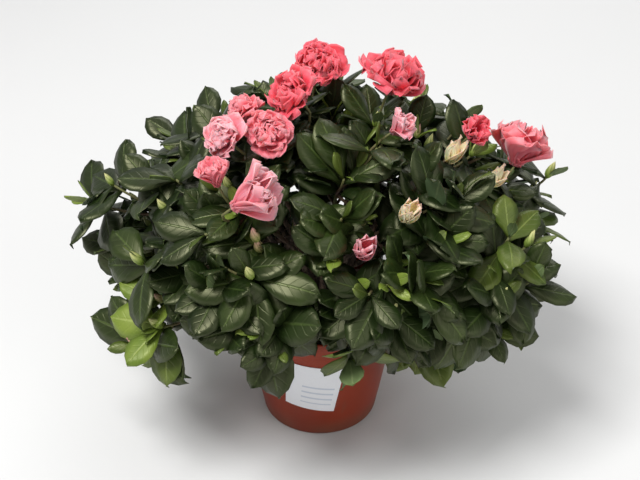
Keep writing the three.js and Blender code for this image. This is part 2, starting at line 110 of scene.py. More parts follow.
def heading(azimuth: float, elevation: float) -> Vector:
    """Turns two angles into a direction.

    Args:
        azimuth: the turn round the upright axis, in degrees.
        elevation: the rise over the level, in degrees.

    Returns:
        The unit direction.
    """
    flat = math.cos(math.radians(elevation))
    turn = math.radians(azimuth)
    return Vector((flat * math.cos(turn), flat * math.sin(turn), math.sin(math.radians(elevation))))


def cross_axes(axis: Vector) -> tuple[Vector, Vector]:
    """Finds two directions square to a third.

    Args:
        axis: a unit direction.

    Returns:
        A level direction square to the axis, and one square to both.
    """
    level = UP.cross(axis)
    if level.length < NEARLY_UPRIGHT:
        level = Vector((1.0, 0.0, 0.0))
    level.normalize()
    return level, axis.cross(level).normalized()


def leaning(axis: Vector, away: float, bearing: float) -> Vector:
    """Turns a direction away from an axis.

    Args:
        axis: the unit direction that it starts from.
        away: how far it turns, in degrees.
        bearing: which way it turns, in degrees round the axis.

    Returns:
        The turned unit direction.
    """
    level, other = cross_axes(axis)
    turn = math.radians(bearing)
    side = level * math.cos(turn) + other * math.sin(turn)
    return axis * math.cos(math.radians(away)) + side * math.sin(math.radians(away))


class Curve:
    """A smooth line through space, read by the share of its length."""

    STEPS = 200
    AIM_SPAN = 0.02

    def __init__(self, *controls: Vector) -> None:
        """Draws the line.

        Args:
            *controls: two to four control points, the first and last on the line.
        """
        self.points = [self._point(controls, i / self.STEPS) for i in range(self.STEPS + 1)]
        self.marks = [0.0]
        for near, far in zip(self.points, self.points[1:]):
            self.marks.append(self.marks[-1] + (far - near).length)
        self.length = self.marks[-1]

    @staticmethod
    def _point(controls: Sequence[Vector], share: float) -> Vector:
        """Finds a point of the line.

        Args:
            controls: the control points.
            share: the share of the way through them.

        Returns:
            The point.
        """
        line = list(controls)
        while len(line) > 1:
            line = [near.lerp(far, share) for near, far in zip(line, line[1:])]
        return line[0]

    def at(self, share: float) -> Vector:
        """Finds a point of the line.

        Args:
            share: the share of the line's length.

        Returns:
            The point.
        """
        mark = min(max(share, 0.0), 1.0) * self.length
        i = min(max(bisect_right(self.marks, mark) - 1, 0), self.STEPS - 1)
        step = self.marks[i + 1] - self.marks[i]
        return self.points[i].lerp(self.points[i + 1], (mark - self.marks[i]) / step if step else 0.0)

    def aim(self, share: float) -> Vector:
        """Returns the line's unit heading at a share of its length."""
        near, far = max(share - self.AIM_SPAN, 0.0), min(share + self.AIM_SPAN, 1.0)
        return (self.at(far) - self.at(near)).normalized()


# Meshes


@dataclass
class Shape:
    """The arrays of one mesh, in metres."""

    places: np.ndarray
    sizes: np.ndarray
    corners: np.ndarray
    uvs: np.ndarray
    slots: np.ndarray

    @classmethod
    def of(cls, thing: bpy.types.Object) -> "Shape":
        """Reads a finished object's mesh, and removes the object.

        Args:
            thing: a mesh object with one UV map, its place in its mesh.

        Returns:
            The arrays of its mesh.
        """
        mesh = thing.data
        places = np.empty(len(mesh.vertices) * 3)
        corners = np.empty(len(mesh.loops), dtype=np.int32)
        sizes = np.empty(len(mesh.polygons), dtype=np.int32)
        slots = np.empty(len(mesh.polygons), dtype=np.int32)
        uvs = np.empty(len(mesh.loops) * 2)
        mesh.vertices.foreach_get("co", places)
        mesh.loops.foreach_get("vertex_index", corners)
        mesh.polygons.foreach_get("loop_total", sizes)
        mesh.polygons.foreach_get("material_index", slots)
        mesh.uv_layers.active.data.foreach_get("uv", uvs)
        shape = cls(places.reshape(-1, 3), sizes, corners, uvs.reshape(-1, 2), slots)
        bpy.data.objects.remove(thing)
        bpy.data.meshes.remove(mesh)
        return shape

    def placed(self, turn: np.ndarray, where: Vector) -> "Shape":
        """Copies the shape to a place.

        Args:
            turn: a 3 by 3 array that turns and scales it.
            where: the place of its origin, in metres.

        Returns:
            The placed copy.
        """
        places = self.places @ turn.T + np.array(tuple(where))
        return Shape(places, self.sizes, self.corners, self.uvs, self.slots)


def joined_object(name: str, shapes: Sequence[Shape], smooth: bool = True) -> bpy.types.Object:
    """Joins many placed shapes into one mesh object.

    Args:
        name: the object's name.
        shapes: the placed shapes.
        smooth: whether its faces are shaded smooth.

    Returns:
        The new object, at the origin, riding on the body.
    """
    starts = np.cumsum([0] + [len(shape.places) for shape in shapes[:-1]])
    places = np.concatenate([shape.places for shape in shapes])
    corners = np.concatenate([shape.corners + start for shape, start in zip(shapes, starts)])
    sizes = np.concatenate([shape.sizes for shape in shapes])
    mesh = bpy.data.meshes.new(name)
    mesh.vertices.add(len(places))
    mesh.loops.add(len(corners))
    mesh.polygons.add(len(sizes))
    mesh.vertices.foreach_set("co", places.ravel())
    mesh.loops.foreach_set("vertex_index", corners.astype(np.int32))
    firsts = np.concatenate([[0], np.cumsum(sizes)[:-1]])
    mesh.polygons.foreach_set("loop_start", firsts.astype(np.int32))
    mesh.polygons.foreach_set("material_index", np.concatenate([shape.slots for shape in shapes]))
    mesh.polygons.foreach_set("use_smooth", np.full(len(sizes), smooth))
    uv_map = mesh.uv_layers.new(name="UVMap")
    uv_map.data.foreach_set("uv", np.concatenate([shape.uvs for shape in shapes]).ravel())
    mesh.update(calc_edges=True)
    mesh.validate()
    thing = bpy.data.objects.new(name, mesh)
    bpy.context.scene.collection.objects.link(thing)
    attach(thing, BODY)
    return thing


def tube(line: Curve, radius_at: Callable[[float], float], sides: int, steps: int) -> Shape:
    """Sweeps a closed tapering tube along a line.

    Args:
        line: its axis, in millimetres.
        radius_at: its radius at each share of its length, in millimetres.
        sides: how many sides it has.
        steps: how many stretches it has.

    Returns:
        The tube, in metres, with UVs round and along it.
    """
    level, _ = cross_axes(line.aim(0.0))
    rings = []
    for i in range(steps + 1):
        share = i / steps
        aim = line.aim(share)
        level = (level - aim * level.dot(aim)).normalized()
        other = aim.cross(level)
        centre, radius = line.at(share), radius_at(share)
        for k in range(sides):
            turn = 2 * math.pi * k / sides
            rings.append(centre + (level * math.cos(turn) + other * math.sin(turn)) * radius)
    corners, uvs = [], []
    for i in range(steps):
        for k in range(sides):
            after = (k + 1) % sides
            corners += [i * sides + k, i * sides + after, (i + 1) * sides + after, (i + 1) * sides + k]
            for u, v in ((k, i), (k + 1, i), (k + 1, i + 1), (k, i + 1)):
                uvs.append((u / sides, v / steps))
    corners += list(range(sides - 1, -1, -1)) + [steps * sides + k for k in range(sides)]
    uvs += [(0.5, 0.0)] * sides + [(0.5, 1.0)] * sides
    sizes = [4] * (sides * steps) + [sides, sides]
    return Shape(
        np.array([tuple(point * MM) for point in rings]),
        np.array(sizes, dtype=np.int32),
        np.array(corners, dtype=np.int32),
        np.array(uvs),
        np.zeros(len(sizes), dtype=np.int32),
    )


def turn_array(across: Vector, along: Vector, over: Vector, size: Vector) -> np.ndarray:
    """Returns the array that lays a shape's x, y and z along three directions, scaled by a size on each."""
    return np.array([tuple(across), tuple(along), tuple(over)]).T * np.array(tuple(size))


# The modelling bench


def clear_pick() -> None:
    """Deselects every object."""
    for other in bpy.context.selected_objects:
        other.select_set(False)


def pick_only(thing: bpy.types.Object) -> None:
    """Picks one object alone and makes it the active one.

    Args:
        thing: the object.
    """
    clear_pick()
    thing.select_set(True)
    bpy.context.view_layer.objects.active = thing


def open_mesh(thing: bpy.types.Object) -> None:
    """Opens an object's whole mesh for editing.

    Args:
        thing: the object.
    """
    pick_only(thing)
    bpy.ops.object.mode_set(mode="EDIT")
    bpy.ops.mesh.select_all(action="SELECT")


def shade(thing: bpy.types.Object, crease: float | None = None) -> None:
    """Shades an object smooth.

    Args:
        thing: the object.
        crease: the angle in degrees past which an edge stays sharp, if any does.
    """
    pick_only(thing)
    if crease is None:
        bpy.ops.object.shade_smooth()
    else:
        bpy.ops.object.shade_smooth_by_angle(angle=math.radians(crease))


def new_piece(name: str) -> bpy.types.Object:
    """Names the primitive that was just added and picks it alone.

    Args:
        name: the piece's name.

    Returns:
        The named object.
    """
    thing = bpy.context.active_object
    thing.name = name
    thing.data.name = name
    pick_only(thing)
    return thing


def reshape(thing: bpy.types.Object, rule: Callable[[Vector], Vector]) -> None:
    """Moves each vertex of an object by a rule, in the mesh's own units."""
    for vertex in thing.data.vertices:
        vertex.co = rule(vertex.co.copy())


def add_modifier(thing: bpy.types.Object, kind: str, **settings: object) -> None:
    """Adds a modifier with its settings and applies it.

    Args:
        thing: the object.
        kind: the modifier's type.
        settings: its settings by name.
    """
    pick_only(thing)
    modifier = thing.modifiers.new(kind.title(), kind)
    for key, value in settings.items():
        setattr(modifier, key, value)
    bpy.ops.object.modifier_apply(modifier=modifier.name)


def tidy_normals(thing: bpy.types.Object) -> None:
    """Merges an object's doubles and turns its faces outwards.

    Args:
        thing: the object.
    """
    open_mesh(thing)
    bpy.ops.mesh.remove_doubles(threshold=1e-6)
    bpy.ops.mesh.normals_make_consistent(inside=False)
    bpy.ops.object.mode_set(mode="OBJECT")


def raised_from_disc(name: str, rings: Sequence[tuple[Vector, float]], sides: int) -> bpy.types.Object:
    """Raises a closed round body from a filled disc by extruding it ring by ring.

    Args:
        name: the piece's name.
        rings: the centre and the radius of each ring, in millimetres, from the disc to the closing face.
        sides: how many sides it has.

    Returns:
        The object, its faces turned outwards.
    """
    clear_pick()
    centre, radius = rings[0]
    bpy.ops.mesh.primitive_circle_add(
        vertices=sides, radius=radius * MM, fill_type="NGON", location=centre * MM
    )
    thing = new_piece(name)
    bpy.ops.object.transform_apply(location=True, rotation=True, scale=True)
    open_mesh(thing)
    for next_centre, next_radius in rings[1:]:
        move = next_centre * MM - centre * MM
        bpy.ops.mesh.extrude_region_move(TRANSFORM_OT_translate={"value": tuple(move)})
        grow = next_radius / radius
        bpy.ops.transform.resize(value=(grow, grow, 1.0), center_override=tuple(next_centre * MM))
        centre, radius = next_centre, next_radius
    bpy.ops.object.mode_set(mode="OBJECT")
    tidy_normals(thing)
    return thing


def upright_rings(profile: Sequence[tuple[float, float]]) -> list[tuple[Vector, float]]:
    """Returns the rings of an upright body from the radius and height of each."""
    return [(Vector((0.0, 0.0, height)), radius) for radius, height in profile]


# Shaders


class Wire:
    """A shader socket that sums can be written with, as with a number."""

    def __init__(self, graph: "Graph", socket: bpy.types.NodeSocket) -> None:
        """Wraps a socket. Args: graph: the material's graph. socket: an output socket."""
        self.graph = graph
        self.socket = socket

    def _sum(self, operation: str, first: object, second: object) -> "Wire":
        """Returns the result of a Math node of two values."""
        return self.graph.node("ShaderNodeMath", {"operation": operation}, {0: first, 1: second})

    def __add__(self, other: object) -> "Wire":
        """Returns the sum."""
        return self._sum("ADD", self, other)

    def __sub__(self, other: object) -> "Wire":
        """Returns the difference."""
        return self._sum("SUBTRACT", self, other)

    def __rsub__(self, other: object) -> "Wire":
        """Returns the difference from another value."""
        return self._sum("SUBTRACT", other, self)

    def __mul__(self, other: object) -> "Wire":
        """Returns the product."""
        return self._sum("MULTIPLY", self, other)

    def size(self) -> "Wire":
        """Returns the value without its sign."""
        return self._sum("ABSOLUTE", self, 0.0)

    def wave(self) -> "Wire":
        """Returns the sine of the value."""
        return self._sum("SINE", self, 0.0)

    def band(self, low: float, high: float) -> "Wire":
        """Maps the value smoothly to 0 at low and 1 at high.

        Args:
            low: the value that gives 0, which may be the greater one.
            high: the value that gives 1.

        Returns:
            The mapped value.
        """
        settings = {"interpolation_type": "SMOOTHSTEP"}
        if low < high:
            return self.graph.node("ShaderNodeMapRange", settings, {0: self, 1: low, 2: high})
        return 1 - self.graph.node("ShaderNodeMapRange", settings, {0: self, 1: high, 2: low})


class Graph:
    """The node graph of one new material, with one Principled shader."""

    MIX_SHARE, MIX_FIRST, MIX_SECOND, MIX_COLOUR = 0, 6, 7, 2

    def __init__(self, name: str) -> None:
        """Starts the material.

        Args:
            name: the material's name.
        """
        self.material = bpy.data.materials.new(name)
        self.material.use_nodes = True
        self.tree = self.material.node_tree
        self.tree.nodes.clear()
        self.shader = self.tree.nodes.new("ShaderNodeBsdfPrincipled")
        output = self.tree.nodes.new("ShaderNodeOutputMaterial")
        self.tree.links.new(self.shader.outputs[0], output.inputs[0])

    def feed(self, socket: bpy.types.NodeSocket, value: object) -> None:
        """Links a wire to an input socket, or sets the socket's own value.

        Args:
            socket: the input socket.
            value: a wire or a plain value.
        """
        if isinstance(value, Wire):
            self.tree.links.new(value.socket, socket)
        else:
            socket.default_value = value

    def node(
        self, kind: str, settings: dict | None = None, values: dict | None = None, out: int = 0
    ) -> Wire:
        """Adds a node.

        Args:
            kind: the node's type.
            settings: its settings by name.
            values: the values or wires of its input sockets, by name or number.
            out: the number of the output that is wanted.

        Returns:
            The wanted output.
        """
        made = self.tree.nodes.new(kind)
        for key, value in (settings or {}).items():
            setattr(made, key, value)
        for key, value in (values or {}).items():
            self.feed(made.inputs[key], value)
        return Wire(self, made.outputs[out])

    def mix(self, first: object, second: object, share: object) -> Wire:
        """Returns a colour between two, at a share of the way from the first to the second."""
        values = {self.MIX_SHARE: share, self.MIX_FIRST: first, self.MIX_SECOND: second}
        return self.node("ShaderNodeMix", {"data_type": "RGBA"}, values, self.MIX_COLOUR)

    def places(self) -> Wire:
        """Returns the object coordinates."""
        return self.node("ShaderNodeTexCoord", out=3)

    def axis(self, place: Wire, number: int) -> Wire:
        """Returns one coordinate of a place. Args: place: the place. number: 0 for x, 1 for y, 2 for z."""
        return self.node("ShaderNodeSeparateXYZ", values={0: place}, out=number)

    def uv(self) -> tuple[Wire, Wire]:
        """Returns the two coordinates of the piece's own UV map."""
        pair = self.node("ShaderNodeUVMap", {"uv_map": "UVMap"})
        return self.axis(pair, 0), self.axis(pair, 1)

    def noise(self, scale: float, detail: float = 3.0, stretch: tuple = (1.0, 1.0, 1.0)) -> Wire:
        """Makes a noise over the object's own places.

        Args:
            scale: how many patches there are to a metre.
            detail: how many finer layers it has.
            stretch: how much finer it is along each axis.

        Returns:
            The noise, from 0 to 1.
        """
        where = self.node("ShaderNodeMapping", values={0: self.places(), 3: stretch})
        values = {"Vector": where, "Scale": scale, "Detail": detail}
        return self.node("ShaderNodeTexNoise", values=values)

    def bump(self, height: Wire, depth: float) -> Wire:
        """Returns the normals of a relief. Args: height: from 0 to 1. depth: in millimetres."""
        values = {"Strength": 1.0, "Distance": depth * MM, "Height": height}
        return self.node("ShaderNodeBump", values=values)

    def dress(self, values: dict) -> bpy.types.Material:
        """Feeds the Principled shader's sockets.

        Args:
            values: the values or wires, by the sockets' names.

        Returns:
            The material.
        """
        for key, value in values.items():
            self.feed(self.shader.inputs[key], value)
        return self.material


def rgb(red: float, green: float, blue: float) -> tuple[float, float, float, float]:
    """Returns an opaque colour from its linear red, green and blue."""
    return (red, green, blue, 1.0)


@dataclass(frozen=True)
class LeafFinish:
    """The upper side of a leaf: a glossy blade with a pale midrib and sunk side veins."""

    name: str
    base: tuple
    bright: tuple
    rib: tuple
    roughness: float = 0.32
    vein_pairs: float = 7.0
    vein_slant: float = 0.22
    vein_share: float = 0.07
    rib_share: float = 0.45

    def make(self) -> bpy.types.Material:
        """Makes the material.

        Returns:
            The new material.
        """
        graph = Graph(self.name)
        across, along = graph.uv()
        side = (across - 0.5).size() * 2
        rib = side.band(0.1, 0.02) * along.band(1.0, 0.75)
        herring = ((along - side * self.vein_slant) * (self.vein_pairs * 2 * math.pi)).wave()
        vein = herring.band(0.72, 1.0) * side.band(1.0, 0.55)
        patch = graph.noise(42.0, 2.0)
        fine = graph.noise(420.0, 2.0)
        blade = graph.mix(self.base, self.bright, patch.band(0.34, 0.7))
        veined = graph.mix(blade, self.rib, vein * self.vein_share)
        colour = graph.mix(veined, self.rib, rib * self.rib_share)
        relief = 1 - vein * 0.4 - rib * 0.8 + fine * 0.12
        return graph.dress({
            "Base Color": colour,
            "Roughness": patch * 0.14 + self.roughness,
            "Specular IOR Level": 0.54,
            "Specular Tint": (1.0, 1.0, 0.62, 1.0),
            "Normal": graph.bump(relief, 0.28),
        })


@dataclass(frozen=True)
class UndersideFinish:
    """The underside of a leaf: paler and duller, with a raised midrib."""

    name: str
    base: tuple
    rib: tuple

    def make(self) -> bpy.types.Material:
        """Makes the material.

        Returns:
            The new material.
        """
        graph = Graph(self.name)
        across, _ = graph.uv()
        rib = (across - 0.5).size().band(0.07, 0.02)
        patch = graph.noise(60.0, 2.0)
        dull = graph.mix(self.base, self.rib, patch * 0.35)
        return graph.dress({
            "Base Color": graph.mix(dull, self.rib, rib * 0.7),
            "Roughness": 0.62,
            "Normal": graph.bump(rib + patch * 0.2, 0.3),
        })


@dataclass(frozen=True)
class PetalFinish:
    """A petal: deeper in its throat, partly its own colour and partly painted shade; painted shade in its
    folds; paler along its ruffled edge.
    """

    name: str
    throat: tuple
    blade: tuple
    edge: tuple
    edge_share: float

    def make(self) -> bpy.types.Material:
        """Makes the material.

        Returns:
            The new material.
        """
        graph = Graph(self.name)
        across, along = graph.uv()
        side = (across - 0.5).size() * 2
        # Fine fold lines: they give the petal its relief, and the throat's colour laid along them is
        # painted shade in the folds.
        fold_relief_and_shade = ((across - 0.5) * 44.0).wave() * 0.5 + 0.5
        patch = graph.noise(140.0, 3.0)
        rim = (along.band(0.72, 1.0) + side.band(0.8, 1.0) * 0.6) * self.edge_share
        # The throat's deeper colour is partly the petal's own and partly painted shade in the blossom's
        # heart.
        deep = graph.mix(self.throat, self.blade, along.band(0.05, 0.62))
        # Painted shade in the folds: the throat's colour laid along the fold lines.
        fold_shaded = graph.mix(deep, self.throat, fold_relief_and_shade * patch * 0.35)
        return graph.dress({
            "Base Color": graph.mix(fold_shaded, self.edge, rim * (patch * 0.8 + 0.5)),
            "Roughness": 0.55,
            "Subsurface Weight": 0.35,
            "Subsurface Radius": (1.0, 0.35, 0.25),
            "Subsurface Scale": 0.004,
            "Specular IOR Level": 0.35,
            "Sheen Weight": 0.25,
            "Normal": graph.bump(fold_relief_and_shade * 0.5 + patch, 0.25),
        })


@dataclass(frozen=True)
class BudFinish:
    """A bud: green scales at its foot, blushing towards its point."""

    name: str
    foot: tuple
    point: tuple

    def make(self) -> bpy.types.Material:
        """Makes the material.

        Returns:
            The new material.
        """
        graph = Graph(self.name)
        across, along = graph.uv()
        scales = ((across * 5 + along * 2.5) * (2 * math.pi)).wave()
        lines = scales.band(0.6, 1.0)
        blush = graph.mix(self.foot, self.point, along.band(0.3, 0.95))
        return graph.dress({
            "Base Color": graph.mix(blush, self.foot, lines * 0.4),
            "Roughness": 0.45,
            "Normal": graph.bump(1 - lines, 0.5),
        })


@dataclass(frozen=True)
class TwigFinish:
    """A young twig: brown and woody where it starts, reddish green at its end."""

    name: str
    wood: tuple
    green: tuple

    def make(self) -> bpy.types.Material:
        """Makes the material.

        Returns:
            The new material.
        """
        graph = Graph(self.name)
        _, along = graph.uv()
        fibre = graph.noise(500.0, 3.0)
        tone = graph.mix(self.wood, self.green, along.band(0.25, 1.0))
        return graph.dress({
            "Base Color": graph.mix(tone, self.wood, fibre.band(0.45, 0.7) * 0.5),
            "Roughness": 0.7,
            "Normal": graph.bump(fibre, 0.3),
        })


@dataclass(frozen=True)
class BarkFinish:
    """The bark of trunk and boughs: greyish brown, flaking in long strips."""

    name: str
    dark: tuple
    mid: tuple
    pale: tuple

    def make(self) -> bpy.types.Material:
        """Makes the material.

        Returns:
            The new material.
        """
        graph = Graph(self.name)
        strips = graph.noise(260.0, 5.0, (1.0, 1.0, 0.28))
        blotch = graph.noise(70.0, 3.0)
        grain = graph.noise(1400.0, 2.0)
        base = graph.mix(self.dark, self.mid, strips.band(0.38, 0.6))
        flaked = graph.mix(base, self.pale, (strips * blotch * 2).band(0.5, 0.85))
        return graph.dress({
            "Base Color": graph.mix(flaked, self.dark, grain.band(0.55, 0.8) * 0.4),
            "Roughness": 0.9,
            "Normal": graph.bump(strips + grain * 0.3, 0.9),
        })


@dataclass(frozen=True)
class PlasticFinish:
    """The pot's thin moulded plastic: terracotta coloured, satin, dusty near its foot and scuffed."""

    name: str
    base: tuple
    light: tuple
    dust: tuple

    def make(self) -> bpy.types.Material:
        """Makes the material.

        Returns:
            The new material.
        """
        graph = Graph(self.name)
        height = graph.axis(graph.places(), 2)
        cloud = graph.noise(22.0, 3.0)
        speck = graph.noise(900.0, 2.0)
        scuff = graph.noise(120.0, 4.0, (1.0, 1.0, 0.15)).band(0.62, 0.8)
        body = graph.mix(self.base, self.light, cloud.band(0.3, 0.75) * 0.6)
        grime = (height.band(0.02, 0.0) * 0.55 + scuff * 0.25) * cloud.band(0.3, 0.6)
        return graph.dress({
            "Base Color": graph.mix(body, self.dust, grime),
            "Roughness": cloud * 0.15 + grime * 0.3 + 0.32,
            "Specular IOR Level": 0.3,
            "Normal": graph.bump(speck * 0.3 + cloud, 0.12),
        })


@dataclass(frozen=True)
class PeatFinish:
    """Moist peat: nearly black, with brown fibres and a few pale crumbs."""

    name: str
    dark: tuple
    brown: tuple
    pale: tuple

    def make(self) -> bpy.types.Material:
        """Makes the material.

        Returns:
            The new material.
        """
        graph = Graph(self.name)
        lumps = graph.noise(260.0, 6.0)
        fibres = graph.noise(900.0, 3.0, (1.0, 0.25, 1.0))
        soil = graph.mix(self.dark, self.brown, lumps.band(0.4, 0.7))
        return graph.dress({
            "Base Color": graph.mix(soil, self.pale, fibres.band(0.66, 0.75) * 0.5),
            "Roughness": 0.95,
            "Normal": graph.bump(lumps + fibres * 0.4, 2.5),
        })


@dataclass(frozen=True)
class StickerFinish:
    """The blank sticker: white coated paper with a few ruled lines."""

    name: str
    paper: tuple
    ink: tuple
    lines: int = 4

    def make(self) -> bpy.types.Material:
        """Makes the material.

        Returns:
            The new material.
        """
        graph = Graph(self.name)
        across, along = graph.uv()
        inside = across.band(0.3, 0.31) * across.band(0.91, 0.9)
        inside = inside * along.band(0.14, 0.15) * along.band(0.62, 0.61)
        ruled = ((along - 0.12) * (self.lines * 2 * math.pi / 0.5)).wave().band(0.55, 0.75)
        fibre = graph.noise(700.0, 3.0)
        white = graph.mix(self.paper, rgb(0.62, 0.63, 0.66), fibre.band(0.5, 0.9) * 0.25)
        return graph.dress({
            "Base Color": graph.mix(white, self.ink, inside * ruled * 0.45),
            "Roughness": 0.42,
            "Normal": graph.bump(fibre, 0.05),
        })


@dataclass(frozen=True)
class FloorFinish:
    """The plain pale floor."""

    name: str
    tone: tuple
    shade: tuple

    def make(self) -> bpy.types.Material:
        """Makes the material.

        Returns:
            The new material.
        """
        graph = Graph(self.name)
        cloud = graph.noise(3.0, 3.0)
        return graph.dress({
            "Base Color": graph.mix(self.tone, self.shade, cloud * 0.3),
            "Roughness": 0.75,
            "Normal": graph.bump(graph.noise(160.0, 3.0), 0.1),
        })


class Tone(Enum):
    """The greens that the sprays of leaves are dealt."""

    DEEP = "deep"
    MID = "mid"
    OLIVE = "olive"
    YOUNG = "young"


class Blush(Enum):
    """The colours of the blossoms."""

    DEEP = "deep"
    CORAL = "coral"
    PALE = "pale"
    CREAM = "cream"


class Stage(Enum):
    """How far a blossom has opened."""

    FULL = "full"
    HALF = "half"
    BUD = "bud"


UPPER_SIDES = {
    Tone.DEEP: LeafFinish(
        "leaf_deep", rgb(0.0055, 0.013, 0.002), rgb(0.011, 0.023, 0.004), rgb(0.06, 0.095, 0.022)
    ),
    Tone.MID: LeafFinish(
        "leaf_mid", rgb(0.01, 0.02, 0.0035), rgb(0.02, 0.036, 0.006), rgb(0.085, 0.13, 0.03)
    ),
    Tone.OLIVE: LeafFinish(
        "leaf_olive", rgb(0.048, 0.078, 0.011), rgb(0.09, 0.125, 0.018), rgb(0.22, 0.27, 0.07)
    ),
    Tone.YOUNG: LeafFinish(
        "leaf_young", rgb(0.1, 0.16, 0.018), rgb(0.18, 0.24, 0.035), rgb(0.32, 0.38, 0.1), 0.35
    ),
}
UNDERSIDES = {
    Tone.DEEP: UndersideFinish("leaf_back_deep", rgb(0.07, 0.12, 0.05), rgb(0.16, 0.22, 0.1)),
    Tone.MID: UndersideFinish("leaf_back_mid", rgb(0.09, 0.15, 0.06), rgb(0.18, 0.25, 0.11)),
    Tone.OLIVE: UndersideFinish("leaf_back_olive", rgb(0.13, 0.19, 0.07), rgb(0.24, 0.3, 0.13)),
    Tone.YOUNG: UndersideFinish("leaf_back_young", rgb(0.26, 0.34, 0.09), rgb(0.38, 0.44, 0.18)),
}
# Each throat colour is partly the petal's own colour and partly painted shade for the blossom's heart and
# the petals' folds.
PETALS = {
    Blush.DEEP: PetalFinish(
        "petal_deep", rgb(0.5, 0.012, 0.03), rgb(0.8, 0.05, 0.085), rgb(0.88, 0.19, 0.23), 0.45
    ),
    Blush.CORAL: PetalFinish(
        "petal_coral", rgb(0.6, 0.03, 0.055), rgb(0.8, 0.11, 0.15), rgb(0.86, 0.32, 0.35), 0.55
    ),
    Blush.PALE: PetalFinish(
        "petal_pale", rgb(0.7, 0.09, 0.13), rgb(0.82, 0.22, 0.27), rgb(0.88, 0.46, 0.49), 0.6
    ),
    Blush.CREAM: PetalFinish(
        "petal_cream", rgb(0.6, 0.62, 0.2), rgb(0.95, 0.76, 0.46), rgb(0.95, 0.5, 0.4), 0.7
    ),
}
BUDS = {
    Tone.YOUNG: BudFinish("bud_green", rgb(0.22, 0.32, 0.05), rgb(0.72, 0.68, 0.3)),
    Tone.OLIVE: BudFinish("bud_blush", rgb(0.34, 0.38, 0.1), rgb(0.86, 0.42, 0.38)),
}
TWIG = TwigFinish("twig_wood", rgb(0.1, 0.055, 0.03), rgb(0.14, 0.15, 0.045))
BARK = BarkFinish("bark_brown", rgb(0.035, 0.022, 0.015), rgb(0.11, 0.07, 0.045), rgb(0.22, 0.165, 0.12))
PLASTIC = PlasticFinish(
    "pot_terracotta", rgb(0.205, 0.021, 0.004), rgb(0.3, 0.035, 0.008), rgb(0.16, 0.085, 0.05)
)
PEAT = PeatFinish("peat_moist", rgb(0.012, 0.008, 0.006), rgb(0.05, 0.03, 0.018), rgb(0.2, 0.15, 0.1))
STICKER = StickerFinish("sticker_white", rgb(0.84, 0.85, 0.88), rgb(0.25, 0.33, 0.48))
FLOOR = FloorFinish("floor_pale", rgb(0.72, 0.72, 0.71), rgb(0.62, 0.62, 0.62))


# The plan of the plant, by the solids' own rule


@dataclass(frozen=True)
class Mound:
    """A rounded mound, by how far it reaches each way from its centre, in millimetres."""

    left: float
    right: float
    front: float
    back: float
    up: float
    down: float = 64.0

    def reach(self, way: Vector) -> float:
        """Measures the mound in one direction.

        Args:
            way: a unit direction.

        Returns:
            How far it reaches from its centre.
        """
        return 1 / math.sqrt(
            (way.x / (self.left if way.x < 0 else self.right)) ** 2
            + (way.y / (self.front if way.y < 0 else self.back)) ** 2
            + (way.z / (self.down if way.z < 0 else self.up)) ** 2
        )


@dataclass(frozen=True)
class Ring:
    """A ring of foliage masses round the crown."""

    name: str
    elevation: float
    lift: float
    parent_at: float
    azimuths: tuple
    stretches: tuple


@dataclass
class Bough:
    """The limb that carries a mass."""

    line: Curve
    base: float
    parent: "Bough | None"
    tip: float = 1.7

    def radius(self, share: float) -> float:
        """Returns its radius at a share of its length."""
        return lerp(self.base, self.tip, share)


@dataclass
class Mass:
    """One mass of foliage: the wedge of space that it keeps to and the bough that carries it.

    Its seed is its number times a hundred, so that its shoots and twigs have room for seeds of their own.
    """

    name: str
    ring: Ring
    azimuth: float
    axis: Vector
    seed: int
    heart: Vector
    stretch: float
    bough: Bough | None = None


@dataclass
class Twig:
    """One twig with the whorl of leaves at its end."""

    line: Curve
    mass: Mass
    seed: int
    first: bool


@dataclass
class Bloom:
    """One blossom on its stalk."""

    azimuth: float
    elevation: float
    out: float
    width: float
    facing: tuple
    blush: Blush
    stage: Stage = Stage.FULL
    flare: float = 1.0
    centre: Vector = field(default_factory=Vector)
    aim: Vector = field(default_factory=Vector)
    mass: Mass | None = None
    stalk: Curve | None = None


